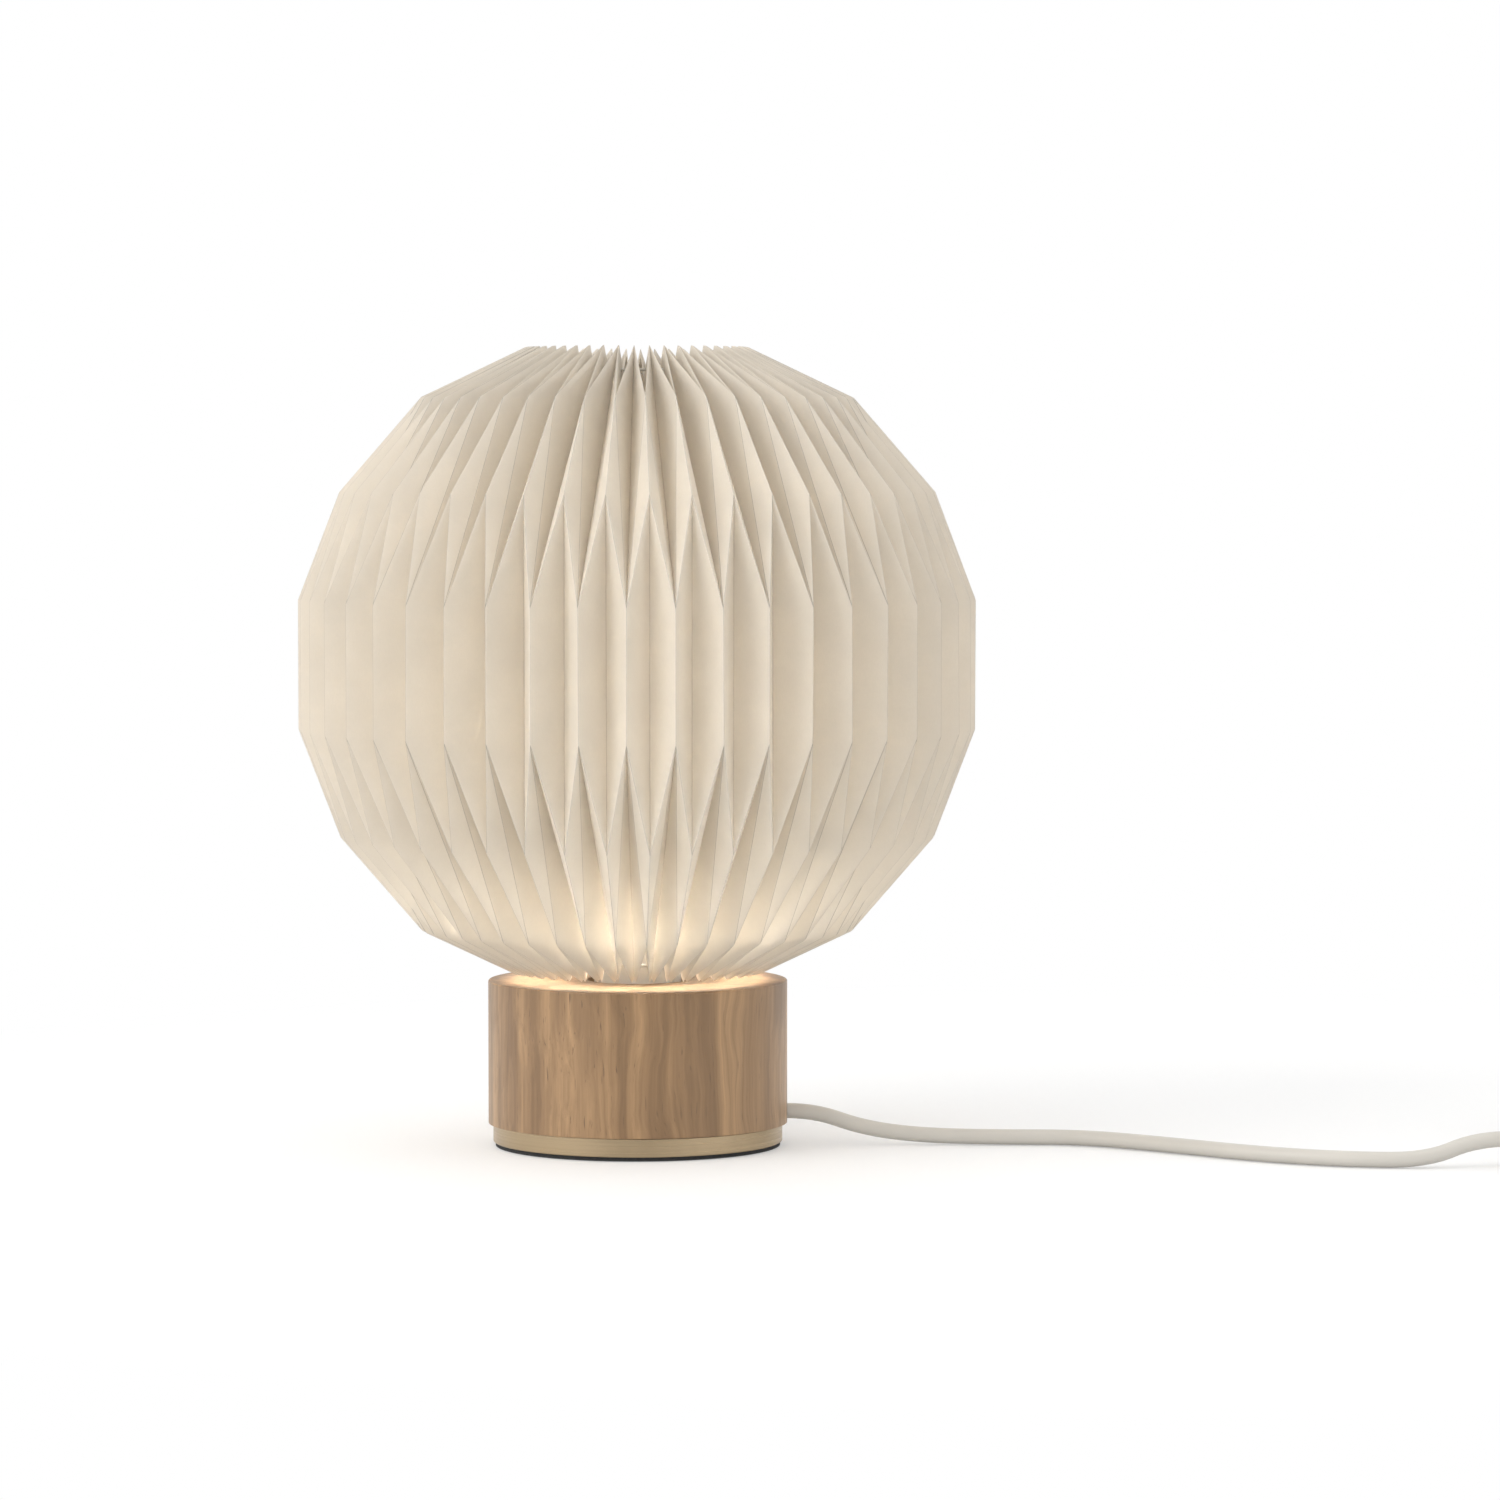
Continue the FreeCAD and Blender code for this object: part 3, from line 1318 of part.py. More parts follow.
def make_switch_shell(label, upper):
    shell = new_body(label)
    bottom = cell("switch_half_height") if upper else "0"
    rounded_block(
        shell,
        label,
        bottom,
        cell("switch_length"),
        cell("switch_width"),
        cell("switch_corner_radius"),
        cell("switch_half_height"),
    )
    doc.recompute()
    level = size("switch_half_height") * (2 if upper else 0)

    def closed_rim(edge):
        return abs(edge.BoundBox.ZMin - level) < 0.01 and abs(edge.BoundBox.ZMax - level) < 0.01

    add_fillet(shell, label + "_rim", cell("switch_edge_radius"), closed_rim)
    # the hollow, from the parting plane, leaves solid ends for the cord clamps and screws
    hollow = new_sketch(shell, label + "_hollow", height=cell("switch_half_height"))
    side = "(Sizes.switch_width / 2 - Sizes.switch_wall)"
    end = "Sizes.switch_cavity_length / 2"
    draw_rectangle(hollow, "-" + end, end, "-" + side, side)
    depth = "Sizes.switch_half_height - Sizes.switch_wall"
    add_pocket(shell, hollow, label + "_hollow_cut", depth, upper)
    screws = new_sketch(shell, label + "_holes", height="0" if not upper else bottom)
    width = "(Sizes.switch_screw_diameter + 2 * Sizes.fixed_clearance)"
    for sign, other in (("-", ""), ("", "-")):
        place = "%sSizes.switch_screw_offset_x" % sign
        draw_circle(screws, width, place, "%sSizes.switch_screw_offset_y" % other)
    if upper:
        reach_in = "Sizes.switch_screw_head_height + Sizes.switch_screw_length"
        deep = "%s - Sizes.switch_half_height + Sizes.screw_end_room" % reach_in
    else:
        deep = cell("switch_half_height")
    add_pocket(shell, screws, label + "_holes_cut", deep, True)
    return shell


def switch_place(made):
    made.Placement.Base = SWITCH_CENTRE


def make_switch_lower_shell():
    shell = make_switch_shell("switch_lower_shell", False)
    sinks = new_sketch(shell, "switch_lower_sinks", height="0")
    width = "(Sizes.switch_screw_head + 2 * Sizes.fixed_clearance)"
    for sign, other in (("-", ""), ("", "-")):
        place = "%sSizes.switch_screw_offset_x" % sign
        draw_circle(sinks, width, place, "%sSizes.switch_screw_offset_y" % other)
    add_pocket(shell, sinks, "switch_lower_sinks_cut", cell("switch_screw_head_height"), True)
    switch_place(shell)
    return shell


def make_switch_upper_shell():
    """The shell with the rocker's window and, inside it, two ears for the pin."""
    shell = make_switch_shell("switch_upper_shell", True)
    roof = "(2 * Sizes.switch_half_height - Sizes.switch_wall)"
    inner = "(Sizes.rocker_width / 2 + Sizes.moving_clearance)"
    outer = "(%s + Sizes.ear_thickness)" % inner
    drop = "(Sizes.rocker_pivot_height - Sizes.pin_diameter - Sizes.ear_below_pin)"
    half_ear = "Sizes.ear_width / 2"
    for sign in ("-", ""):
        name = "switch_ear_%s" % ("front" if sign else "back")
        ear = new_sketch(shell, name, height=drop)
        low, high = (outer, inner) if sign else (inner, outer)
        draw_rectangle(ear, "-" + half_ear, half_ear, sign + low, sign + high)
        add_pad(shell, ear, name + "_block", "%s - %s" % (roof, drop))
    window = new_sketch(shell, "switch_window", height=cell("rocker_pivot_height"))
    reach_out = cell("window_half_length")
    draw_rectangle(window, "-" + reach_out, reach_out, "-" + inner, inner)
    add_pocket(shell, window, "switch_window_cut", cell("switch_half_height"), True)
    bore = new_sketch(shell, "switch_pin_bore", "XZ_Plane", "-" + outer + " - Sizes.overcut / 2")
    width = "(Sizes.pin_diameter + 2 * Sizes.fixed_clearance)"
    draw_circle(bore, width, "0", cell("rocker_pivot_height"))
    add_pocket(shell, bore, "switch_pin_bore_cut", "2 * %s + Sizes.overcut" % outer, True)
    switch_place(shell)
    return shell


def make_switch_pin():
    half = size("rocker_width") / 2 + size("moving_clearance") + size("ear_thickness")
    start = SWITCH_CENTRE + V(0, -half, size("rocker_pivot_height"))
    return coded(
        "switch_pin", Part.makeCylinder(size("pin_diameter") / 2, 2 * half, start, V(0, 1, 0))
    )


def make_switch_rocker():
    """A dished rocker on its pin, resting with one end down."""
    rocker = new_body("switch_rocker")
    half_width = "(Sizes.rocker_width / 2)"
    sketch = new_sketch(rocker, "rocker_side", "XZ_Plane", "-" + half_width)
    pivot = cell("rocker_pivot_height")
    reach_out = cell("rocker_half_length")
    top = "(2 * Sizes.switch_half_height + Sizes.rocker_rise)"
    dish = "(2 * Sizes.switch_half_height - Sizes.rocker_dish)"
    waist = "(Sizes.rocker_half_length - Sizes.rocker_waist_inset)"
    toe = "(Sizes.rocker_half_length - Sizes.rocker_toe_inset)"
    sole = "(%s - Sizes.rocker_drop)" % pivot
    draw_outline(
        sketch,
        [
            ("-" + reach_out, top),
            ("-" + waist, pivot),
            ("-" + toe, sole),
            (toe, sole),
            (waist, pivot),
            (reach_out, top),
            ("0", dish),
        ],
    )
    draw_circle(sketch, "(Sizes.pin_diameter + 2 * Sizes.fixed_clearance)", "0", pivot)
    add_pad(rocker, sketch, "rocker_block", cell("rocker_width"))
    height = size("rocker_pivot_height")
    turn = FreeCAD.Rotation(V(0, 1, 0), -size("rocker_tilt"))
    rocker.Placement = FreeCAD.Placement(SWITCH_CENTRE, turn, V(0, 0, height))
    return rocker


def make_switch_screws():
    screws = []
    for sign, other in ((-1, 1), (1, -1)):
        foot = SWITCH_CENTRE + V(
            sign * size("switch_screw_offset_x"), other * size("switch_screw_offset_y"), 0
        )
        head_height = size("switch_screw_head_height")
        lift = V(0, 0, size("switch_screw_recess"))
        head = Part.makeCylinder(size("switch_screw_head") / 2, head_height - lift.z, foot + lift)
        shank = Part.makeCylinder(
            size("switch_screw_diameter") / 2, size("switch_screw_length"), foot + V(0, 0, head_height)
        )
        screws.append(head.fuse(shank).removeSplitter())
    return coded("switch_screws", Part.makeCompound(screws))


# ---------------------------------------------------------------- plug


def make_plug_body():
    """A flat two-pin plug: a tapered block with a round relief where the lead enters."""
    length = size("plug_length")
    relief = size("plug_relief_length")
    half = size("plug_width") / 2
    neck = size("plug_neck_width") / 2
    wide_from = relief + size("plug_taper_length")
    corners = [
        V(-neck, relief, 0),
        V(neck, relief, 0),
        V(half, wide_from, 0),
        V(half, relief + length, 0),
        V(-half, relief + length, 0),
        V(-half, wide_from, 0),
    ]
    face = Part.Face(Part.makePolygon(corners + [corners[0]]))
    block = face.extrude(V(0, 0, size("plug_thickness")))
    block = block.makeFillet(size("plug_edge_radius"), block.Edges)
    cone = Part.makeCone(
        size("plug_relief_narrow") / 2,
        size("plug_relief_wide") / 2,
        relief + size("plug_edge_radius"),
        V(0, 0, PLUG_AXIS),
        V(0, 1, 0),
    )
    made = block.fuse(cone)
    made.translate(V(PLUG_START.x, PLUG_START.y, 0))
    return coded("plug_body", made)


def make_plug_pins():
    pins = []
    front = PLUG_START.y + size("plug_relief_length") + size("plug_length")
    for sign in (-1, 1):
        foot = V(PLUG_START.x + sign * size("plug_pin_spacing") / 2, front, PLUG_AXIS)
        radius = size("plug_pin_diameter") / 2
        pin = Part.makeCylinder(radius, size("plug_pin_length"), foot, V(0, 1, 0))
        end = front + size("plug_pin_length")
        tip = [edge for edge in pin.Edges if abs(edge.BoundBox.YMin - end) < 0.01]
        pins.append(pin.makeFillet(size("plug_pin_tip"), tip))
    return coded("plug_pins", Part.makeCompound(pins))


# ---------------------------------------------------------------- the whole lamp

pieces = [
    make_foot_pad(),
    make_foot_plate(),
    make_foot_screws(),
    make_wood_base(),
    make_clamp_bar(),
    make_clamp_screws(),
    make_threaded_tube(),
    make_tube_washer(),
    make_tube_nut(),
    make_holder_cap(),
    make_contact_block(),
    make_terminal_screws(),
    make_holder_sleeve(),
    make_screw_shell(),
    make_centre_contact(),
    make_shade_ring(),
    make_shade_carrier(),
    make_bulb_tip(),
    make_bulb_insulator(),
    make_bulb_cap(),
    make_bulb_glass(),
    make_bulb_stem(),
    make_bulb_filaments(),
    make_pleated_shade(),
    make_gather_cord("top_gather_cord", 1),
    make_gather_cord("bottom_gather_cord", -1),
    make_inner_cord(),
    make_inner_conductors(),
    cord_tube("cord_lead", LEAD_ROUTE),
    make_switch_lower_shell(),
    make_switch_upper_shell(),
    make_switch_pin(),
    make_switch_rocker(),
    make_switch_screws(),
    cord_tube("cord_link", LINK_ROUTE),
    make_cord_coil(),
    make_coil_tie(),
    cord_tube("cord_end", END_ROUTE),
    make_plug_body(),
    make_plug_pins(),
]
doc.recompute()

for item in doc.Objects:
    if "Invalid" in item.State or "Error" in item.State:
        raise RuntimeError("%s failed: %s" % (item.Label, item.State))
for piece in pieces:
    if piece.Shape.isNull() or not piece.Shape.isValid():
        raise RuntimeError("%s has no valid shape" % piece.Label)

os.makedirs("parts", exist_ok=True)
for piece in pieces:
    piece.Shape.exportStep(os.path.join("parts", piece.Label + ".step"))
print("pieces", len(pieces))
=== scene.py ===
"""The looks of a small table lamp: a cross-pleated paper ball on a turned oak base.

Every length is in metres, in the lamp's own frame: +Z up, the origin under the foot, the
viewer at -Y and the lead leaving towards +X.
"""
import math

import bmesh
import bpy
from bpy.props import FloatProperty, FloatVectorProperty, IntProperty, PointerProperty
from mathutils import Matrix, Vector, noise


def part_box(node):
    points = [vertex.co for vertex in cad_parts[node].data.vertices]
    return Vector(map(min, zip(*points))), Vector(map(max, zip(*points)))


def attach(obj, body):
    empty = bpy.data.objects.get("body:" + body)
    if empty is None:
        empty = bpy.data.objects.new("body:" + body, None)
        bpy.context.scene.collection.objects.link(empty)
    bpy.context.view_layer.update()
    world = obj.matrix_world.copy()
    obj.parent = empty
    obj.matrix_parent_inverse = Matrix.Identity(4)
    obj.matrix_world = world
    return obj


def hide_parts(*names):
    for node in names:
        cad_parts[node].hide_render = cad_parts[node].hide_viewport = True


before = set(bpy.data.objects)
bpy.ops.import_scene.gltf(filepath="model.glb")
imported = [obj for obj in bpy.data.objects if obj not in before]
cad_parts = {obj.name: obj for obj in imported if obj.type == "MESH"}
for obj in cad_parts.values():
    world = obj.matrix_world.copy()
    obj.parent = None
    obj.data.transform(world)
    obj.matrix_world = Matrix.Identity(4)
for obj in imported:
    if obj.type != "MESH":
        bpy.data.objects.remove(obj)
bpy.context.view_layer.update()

bl_info = {
    "name": "Pleated paper table lamp",
    "version": (1, 0, 0),
    "blender": (4, 5, 0),
    "location": "3D View > Sidebar > Lamp",
    "description": "Dresses a pleated paper table lamp with its finishes, lead and stage",
    "category": "Object",
}


# ------------------------------------------------------------------ sizes and colours


class LampSizes(bpy.types.PropertyGroup):
    """Sizes that a maker of the lamp would change."""

    lead_diameter: FloatProperty(
        name="Lead", description="Thickness of the round mains lead",
        default=0.0048, min=0.002, max=0.01, unit="LENGTH",
    )
    crease_width: FloatProperty(
        name="Crease", description="Width of the soft edge along each fold of the paper",
        default=0.0004, min=0.0, max=0.001, unit="LENGTH",
    )
    fold_wander: FloatProperty(
        name="Fold wander",
        description="How far the hand-folded creases stray from their places",
        default=0.0004, min=0.0, max=0.002, unit="LENGTH",
    )
    thread_pitch: FloatProperty(
        name="Thread pitch", description="Rise of the bulb's thread in one turn",
        default=0.0028, min=0.001, max=0.005, unit="LENGTH",
    )
    thread_depth: FloatProperty(
        name="Thread depth", description="Depth of the bulb's rolled thread",
        default=0.0008, min=0.0, max=0.002, unit="LENGTH",
    )
    coil_layers: IntProperty(
        name="Coil layers", description="Layers of the put-away lead",
        default=4, min=2, max=4,
    )
    coil_turns: IntProperty(
        name="Turns per layer", description="Turns in each layer of the coil",
        default=2, min=1, max=4,
    )


def colour(name, description, red, green, blue):
    """A colour that the sidebar shows as a swatch."""
    return FloatVectorProperty(
        name=name, description=description, subtype="COLOR", size=3, min=0.0, max=1.0,
        default=(red, green, blue),
    )


class LampColours(bpy.types.PropertyGroup):
    """Colours of the lamp's finishes."""

    paper: colour("Paper", "The shade's off-white paper", 0.885, 0.83, 0.745)
    paper_through: colour("Paper, lit through", "Paper against the bulb", 0.95, 0.92, 0.865)
    oak_light: colour("Oak, early wood", "The paler bands of the oak", 0.50, 0.305, 0.148)
    oak_dark: colour("Oak, late wood", "The darker bands of the oak", 0.24, 0.137, 0.060)
    oak_pore: colour("Oak pores", "The short dark pores", 0.10, 0.055, 0.028)
    brass: colour("Brass", "The brushed brass foot", 0.47, 0.365, 0.235)
    pad: colour("Pad", "The black pad's skin", 0.03, 0.03, 0.03)
    pad_cell: colour("Pad cells", "The pits in the black pad", 0.012, 0.012, 0.013)
    lead: colour("Lead", "The lead's white sheath", 0.66, 0.63, 0.575)
    wire: colour("Wire", "The two wires in the base", 0.22, 0.12, 0.06)
    moulding: colour("Moulding", "Plastic of switch, plug and holder", 0.80, 0.79, 0.755)
    webbing: colour("Webbing", "The strap round the coil", 0.05, 0.05, 0.055)
    steel: colour("Steel", "Screws, washer, nut and tube", 0.56, 0.56, 0.57)
    frame_paint: colour("Frame paint", "The white wire frame", 0.80, 0.79, 0.76)
    thread: colour("Gathering cord", "Cotton in the shade's necks", 0.80, 0.77, 0.70)
    ceramic: colour("Ceramic", "The holder's glazed block", 0.82, 0.81, 0.77)
    ceramic_speck: colour("Ceramic specks", "Specks in the glaze", 0.70, 0.67, 0.60)
    contact_brass: colour("Contact brass", "The holder's contacts", 0.78, 0.60, 0.31)
    nickel: colour("Nickel", "The bulb's cap and the plug's pins", 0.70, 0.68, 0.64)
    solder: colour("Solder", "The bulb's tip", 0.58, 0.58, 0.59)
    black_glass: colour("Black glass", "Round the bulb's tip", 0.02, 0.02, 0.025)
    glass: colour("Glass", "The bulb's clear glass", 0.97, 0.96, 0.94)
    glass_haze: colour("Glass haze", "Where the glass is less clear", 0.93, 0.91, 0.87)
    phosphor: colour("Phosphor", "The filaments' coat", 1.0, 0.75, 0.35)
    phosphor_dark: colour("Phosphor, darker", "Grains in the coat", 0.9, 0.62, 0.22)
    filament_light: colour("Filament light", "What the filaments give", 1.0, 0.76, 0.42)


class StageSettings(bpy.types.PropertyGroup):
    """Light, floor and camera."""

    key_power: FloatProperty(
        name="Key light", description="Soft light from the left",
        default=11.0, min=0.0, unit="POWER",
    )
    fill_power: FloatProperty(
        name="Fill light", description="Soft light from the right",
        default=0.706, min=0.0, unit="POWER",
    )
    bulb_power: FloatProperty(
        name="Bulb", description="Light of the lit bulb",
        default=0.17, min=0.0, unit="POWER",
    )
    bulb_low_power: FloatProperty(
        name="Bulb, downwards", description="Light that the bulb throws on the shade's foot",
        default=0.3, min=0.0, unit="POWER",
    )
    key_hue: colour("Key hue", "Colour of the key light", 1.0, 0.975, 0.94)
    fill_hue: colour("Fill hue", "Colour of the fill light", 1.0, 0.97, 0.93)
    bulb_hue: colour("Bulb hue", "Colour of the bulb's light", 1.0, 0.98, 0.95)
    sky: FloatProperty(
        name="Sky", description="Strength of the light from all round",
        default=0.956, min=0.0,
    )
    floor_lift: FloatProperty(
        name="Floor lift", description="White added to the floor as it is seen",
        default=0.25, min=0.0,
    )
    lens: FloatProperty(
        name="Lens", description="Focal length on a 36 mm wide sensor",
        default=137.6, min=10.0, subtype="DISTANCE_CAMERA",
    )
    distance: FloatProperty(
        name="Camera distance", description="From the lamp's axis to the camera",
        default=1.778, min=0.1, unit="LENGTH",
    )
    camera_height: FloatProperty(
        name="Camera height", description="Above the table",
        default=0.2176, min=0.0, unit="LENGTH",
    )
    tilt_down: FloatProperty(
        name="Tilt", description="How far the camera looks down",
        default=math.radians(3.05), unit="ROTATION",
    )
    turn_right: FloatProperty(
        name="Turn", description="How far the camera looks to the right",
        default=math.radians(1.125), unit="ROTATION",
    )


def sizes():
    """The sizes as the sidebar has them."""
    return bpy.context.scene.lamp_sizes


def colours():
    """The colours as the sidebar has them."""
    return bpy.context.scene.lamp_colours


def stage_settings():
    """The light, floor and camera as the sidebar has them."""
    return bpy.context.scene.lamp_stage


def rgba(hue, share=1.0):
    """A colour with its alpha, darkened to a share of itself."""
    return (hue[0] * share, hue[1] * share, hue[2] * share, 1.0)


# ------------------------------------------------------------------ material helpers


class Nodes:
    """The node tree of a material or world: helpers that add nodes and link them."""

    def __init__(self, owner):
        owner.use_nodes = True
        self.tree = owner.node_tree

    def node(self, kind, **settings):
        """Adds a node of this kind with these settings."""
        made = self.tree.nodes.new(kind)
        for name, value in settings.items():
            setattr(made, name, value)
        return made

    def link(self, start, end):
        """Joins an output to an input."""
        self.tree.links.new(start, end)

    def feed(self, socket, value):
        """Gives a socket what another one says, or a plain value."""
        if isinstance(value, bpy.types.NodeSocket):
            self.link(value, socket)
        else:
            socket.default_value = value

    def math(self, operation, first, second):
        """One operation on two numbers, each plain or a socket."""
        made = self.node("ShaderNodeMath", operation=operation)
        self.feed(made.inputs[0], first)
        self.feed(made.inputs[1], second)
        return made.outputs[0]

    def ramp(self, factor, start=0.0, end=1.0, low=0.0, high=1.0, shape="LINEAR"):
        """From low to high as the factor goes from start to end, and level outside."""
        made = self.node("ShaderNodeMapRange", interpolation_type=shape)
        limits = {"From Min": start, "From Max": end, "To Min": low, "To Max": high}
        for name, value in limits.items():
            made.inputs[name].default_value = value
        self.link(factor, made.inputs["Value"])
        return made.outputs["Result"]

    def two_shaders(self, share, first, second):
        """Shows a share of the second shader, and of the first what is left."""
        both = self.node("ShaderNodeMixShader")
        self.feed(both.inputs["Fac"], share)
        self.link(first.outputs[0], both.inputs[1])
        self.link(second.outputs[0], both.inputs[2])
        self.link(both.outputs[0], self.tree.nodes["Material Output"].inputs["Surface"])

    def seen_straight(self):
        """One for a ray from the camera, off a mirror or through glass, else nought."""
        path = self.node("ShaderNodeLightPath").outputs
        mirrored = self.math("MAXIMUM", path["Is Camera Ray"], path["Is Glossy Ray"])
        return self.math("MAXIMUM", mirrored, path["Is Transmission Ray"])


class Finish(Nodes):
    """A material round one main shader, with patterns fixed to the piece."""

    def __init__(self, name):
        self.material = bpy.data.materials.new(name)
        super().__init__(self.material)
        self.shader = self.tree.nodes["Principled BSDF"]
        self.at = self.node("ShaderNodeTexCoord").outputs["Object"]

    def set(self, **values):
        """Plain values on the main shader's sockets, by their names with underscores."""
        for name, value in values.items():
            self.shader.inputs[name.replace("_", " ")].default_value = value

    def noise(self, scale, detail=3.0, roughness=0.5, at=None):
        """Noise of one scale, or of three that draw it out along X, Y or Z."""
        made = self.node("ShaderNodeTexNoise")
        made.inputs["Detail"].default_value = detail
        made.inputs["Roughness"].default_value = roughness
        where = at or self.at
        if isinstance(scale, tuple):
            mapping = self.node("ShaderNodeMapping")
            mapping.inputs["Scale"].default_value = scale
            self.link(where, mapping.inputs["Vector"])
            where = mapping.outputs["Vector"]
            scale = 1.0
        made.inputs["Scale"].default_value = scale
        self.link(where, made.inputs["Vector"])
        return made.outputs[0]

    def blend(self, factor, first, second):
        """From the first colour to the second, each plain or a socket."""
        made = self.node("ShaderNodeMix", data_type="RGBA")
        self.link(factor, made.inputs[0])
        self.feed(made.inputs[6], first)
        self.feed(made.inputs[7], second)
        return made.outputs[2]

    def bump(self, height, distance, strength, after=None):
        """Relief from a height, laid over an earlier relief where there is one."""
        made = self.node("ShaderNodeBump")
        made.inputs["Strength"].default_value = strength
        made.inputs["Distance"].default_value = distance
        self.link(height, made.inputs["Height"])
        if after is not None:
            self.link(after, made.inputs["Normal"])
        return made.outputs["Normal"]

    def surface(self, tone, roughness, normal=None):
        """Gives the main shader its colour, roughness and relief."""
        self.link(tone, self.shader.inputs["Base Color"])
        self.link(roughness, self.shader.inputs["Roughness"])
        if normal is not None:
            self.link(normal, self.shader.inputs["Normal"])


# ------------------------------------------------------------------ finishes


def paper_finish(name, share, passing):
    """Off-white paper: cloudy fibres, a matt surface, and the bulb's light through it.

    share darkens the paper, and passing is how much of it lets light through.
    """
    made = Finish(name)
    paper = colours().paper
    lit = colours().paper_through
    cloud = made.noise(55.0, detail=4.0, roughness=0.6)
    fibre = made.noise((2600.0, 2600.0, 900.0), detail=2.0)
    patches = made.ramp(cloud, 0.3, 0.7)
    tone = made.blend(patches, rgba(paper, 0.955 * share), rgba(paper, share))
    tone = made.blend(made.ramp(fibre, 0.35, 0.75, high=0.5), tone, rgba(paper, 0.9 * share))
    relief = made.bump(fibre, distance=0.00006, strength=0.35)
    relief = made.bump(cloud, distance=0.0012, strength=0.25, after=relief)
    made.surface(tone, made.ramp(cloud, low=0.82, high=0.92), relief)
    made.set(Specular_IOR_Level=0.25)
    through = made.node("ShaderNodeBsdfTranslucent")
    made.link(made.blend(patches, rgba(lit, 0.93), rgba(lit)), through.inputs["Color"])
    made.two_shaders(passing, made.shader, through)
    return made.material


def oak_finish(name):
    """Oiled oak with upright grain: wandering bands, fine streaks and short pores."""
    made = Finish(name)
    tones = colours()
    wander = made.noise((34.0, 34.0, 15.0))
    sideways = made.node("ShaderNodeCombineXYZ")
    made.link(wander, sideways.inputs["X"])
    made.link(wander, sideways.inputs["Y"])
    drift = made.node("ShaderNodeVectorMath", operation="MULTIPLY_ADD")
    made.link(sideways.outputs[0], drift.inputs[0])
    drift.inputs[1].default_value = (0.016, 0.013, 0.0)
    made.link(made.at, drift.inputs[2])
    grain = drift.outputs[0]
    band = made.noise((150.0, 120.0, 5.0), roughness=0.55, at=grain)
    streak = made.noise((620.0, 620.0, 11.0), detail=4.0, roughness=0.65, at=grain)
    pore = made.noise((1700.0, 1700.0, 130.0), detail=2.0, at=grain)
    open_pore = made.ramp(pore, 0.64, 0.78, high=0.75)
    bands = made.ramp(band, 0.34, 0.66)
    streaks = made.ramp(streak, 0.30, 0.62, low=0.55, high=0.0)
    tone = made.blend(bands, rgba(tones.oak_dark), rgba(tones.oak_light))
    tone = made.blend(streaks, tone, rgba(tones.oak_dark, 0.78))
    tone = made.blend(open_pore, tone, rgba(tones.oak_pore))
    relief = made.bump(streak, distance=0.00012, strength=0.45)
    pits = made.math("MULTIPLY", open_pore, -1.0)
    relief = made.bump(pits, distance=0.00012, strength=0.5, after=relief)
    made.surface(tone, made.ramp(streak, 0.3, 0.7, low=0.62, high=0.46), relief)
    made.set(Specular_IOR_Level=0.6, Coat_Weight=0.2, Coat_Roughness=0.35, Sheen_Weight=0.15)
    return made.material


def turned_metal(name, hue_name, roughness, lines_per_metre):
    """Metal with the fine lines of turning or brushing, level all round."""
    made = Finish(name)
    hue = getattr(colours(), hue_name)
    lines = made.noise((6.0, 6.0, lines_per_metre), roughness=0.7)
    blotch = made.noise(70.0)
    tone = made.blend(made.ramp(lines, 0.35, 0.7, high=0.7), rgba(hue), rgba(hue, 0.84))
    tone = made.blend(made.ramp(blotch, 0.55, 0.8, high=0.35), tone, rgba(hue, 0.72))
    dulled = made.ramp(lines, 0.3, 0.7, low=roughness * 0.8, high=roughness * 1.25)
    made.surface(tone, dulled, made.bump(lines, distance=0.00002, strength=0.5))
    made.set(Metallic=1.0)
    return made.material


def moulded_plastic(name, hue_name, roughness, grain=2400.0):
    """Plastic with a faint spark-eroded grain and a slightly uneven tone."""
    made = Finish(name)
    hue = getattr(colours(), hue_name)
    stipple = made.noise(grain, detail=2.0)
    cloud = made.noise(45.0)
    tone = made.blend(made.ramp(cloud, 0.3, 0.7), rgba(hue, 0.96), rgba(hue))
    dulled = made.ramp(cloud, 0.3, 0.7, low=roughness * 0.9, high=roughness * 1.1)
    made.surface(tone, dulled, made.bump(stipple, distance=0.00002, strength=0.3))
    made.set(Coat_Weight=0.1, Coat_Roughness=0.3)
    return made.material


def black_pad_finish(name):
    """Dense black foam with a fine open skin."""
    made = Finish(name)
    cell = made.node("ShaderNodeTexVoronoi")
    cell.inputs["Scale"].default_value = 1700.0
    made.link(made.at, cell.inputs["Vector"])
    depth = cell.outputs["Distance"]
    skin = made.ramp(depth, 0.0, 0.6)
    tone = made.blend(skin, rgba(colours().pad_cell), rgba(colours().pad))
    relief = made.bump(depth, distance=0.00015, strength=0.5)
    made.surface(tone, made.ramp(depth, low=0.95, high=0.8), relief)
    return made.material


def cotton_finish(name, hue_name, scale):
    """Cotton or webbing: crossed threads, fixed to the piece."""
    made = Finish(name)
    hue = getattr(colours(), hue_name)
    threads = []
    for direction in ("X", "Z"):
        wave = made.node("ShaderNodeTexWave", bands_direction=direction)
        wave.inputs["Scale"].default_value = scale
        wave.inputs["Distortion"].default_value = 1.2
        made.link(made.at, wave.inputs["Vector"])
        threads.append(wave.outputs["Fac"])
    weave = made.math("MAXIMUM", *threads)
    fuzz = made.noise(3000.0, detail=2.0)
    tone = made.blend(made.ramp(weave, 0.3, 0.9), rgba(hue, 0.7), rgba(hue))
    tone = made.blend(made.ramp(fuzz, 0.4, 0.7, high=0.25), tone, rgba(hue, 0.8))
    relief = made.bump(weave, distance=0.00012, strength=0.7)
    made.surface(tone, made.ramp(fuzz, low=0.85, high=0.98), relief)
    made.set(Sheen_Weight=0.25)
    return made.material


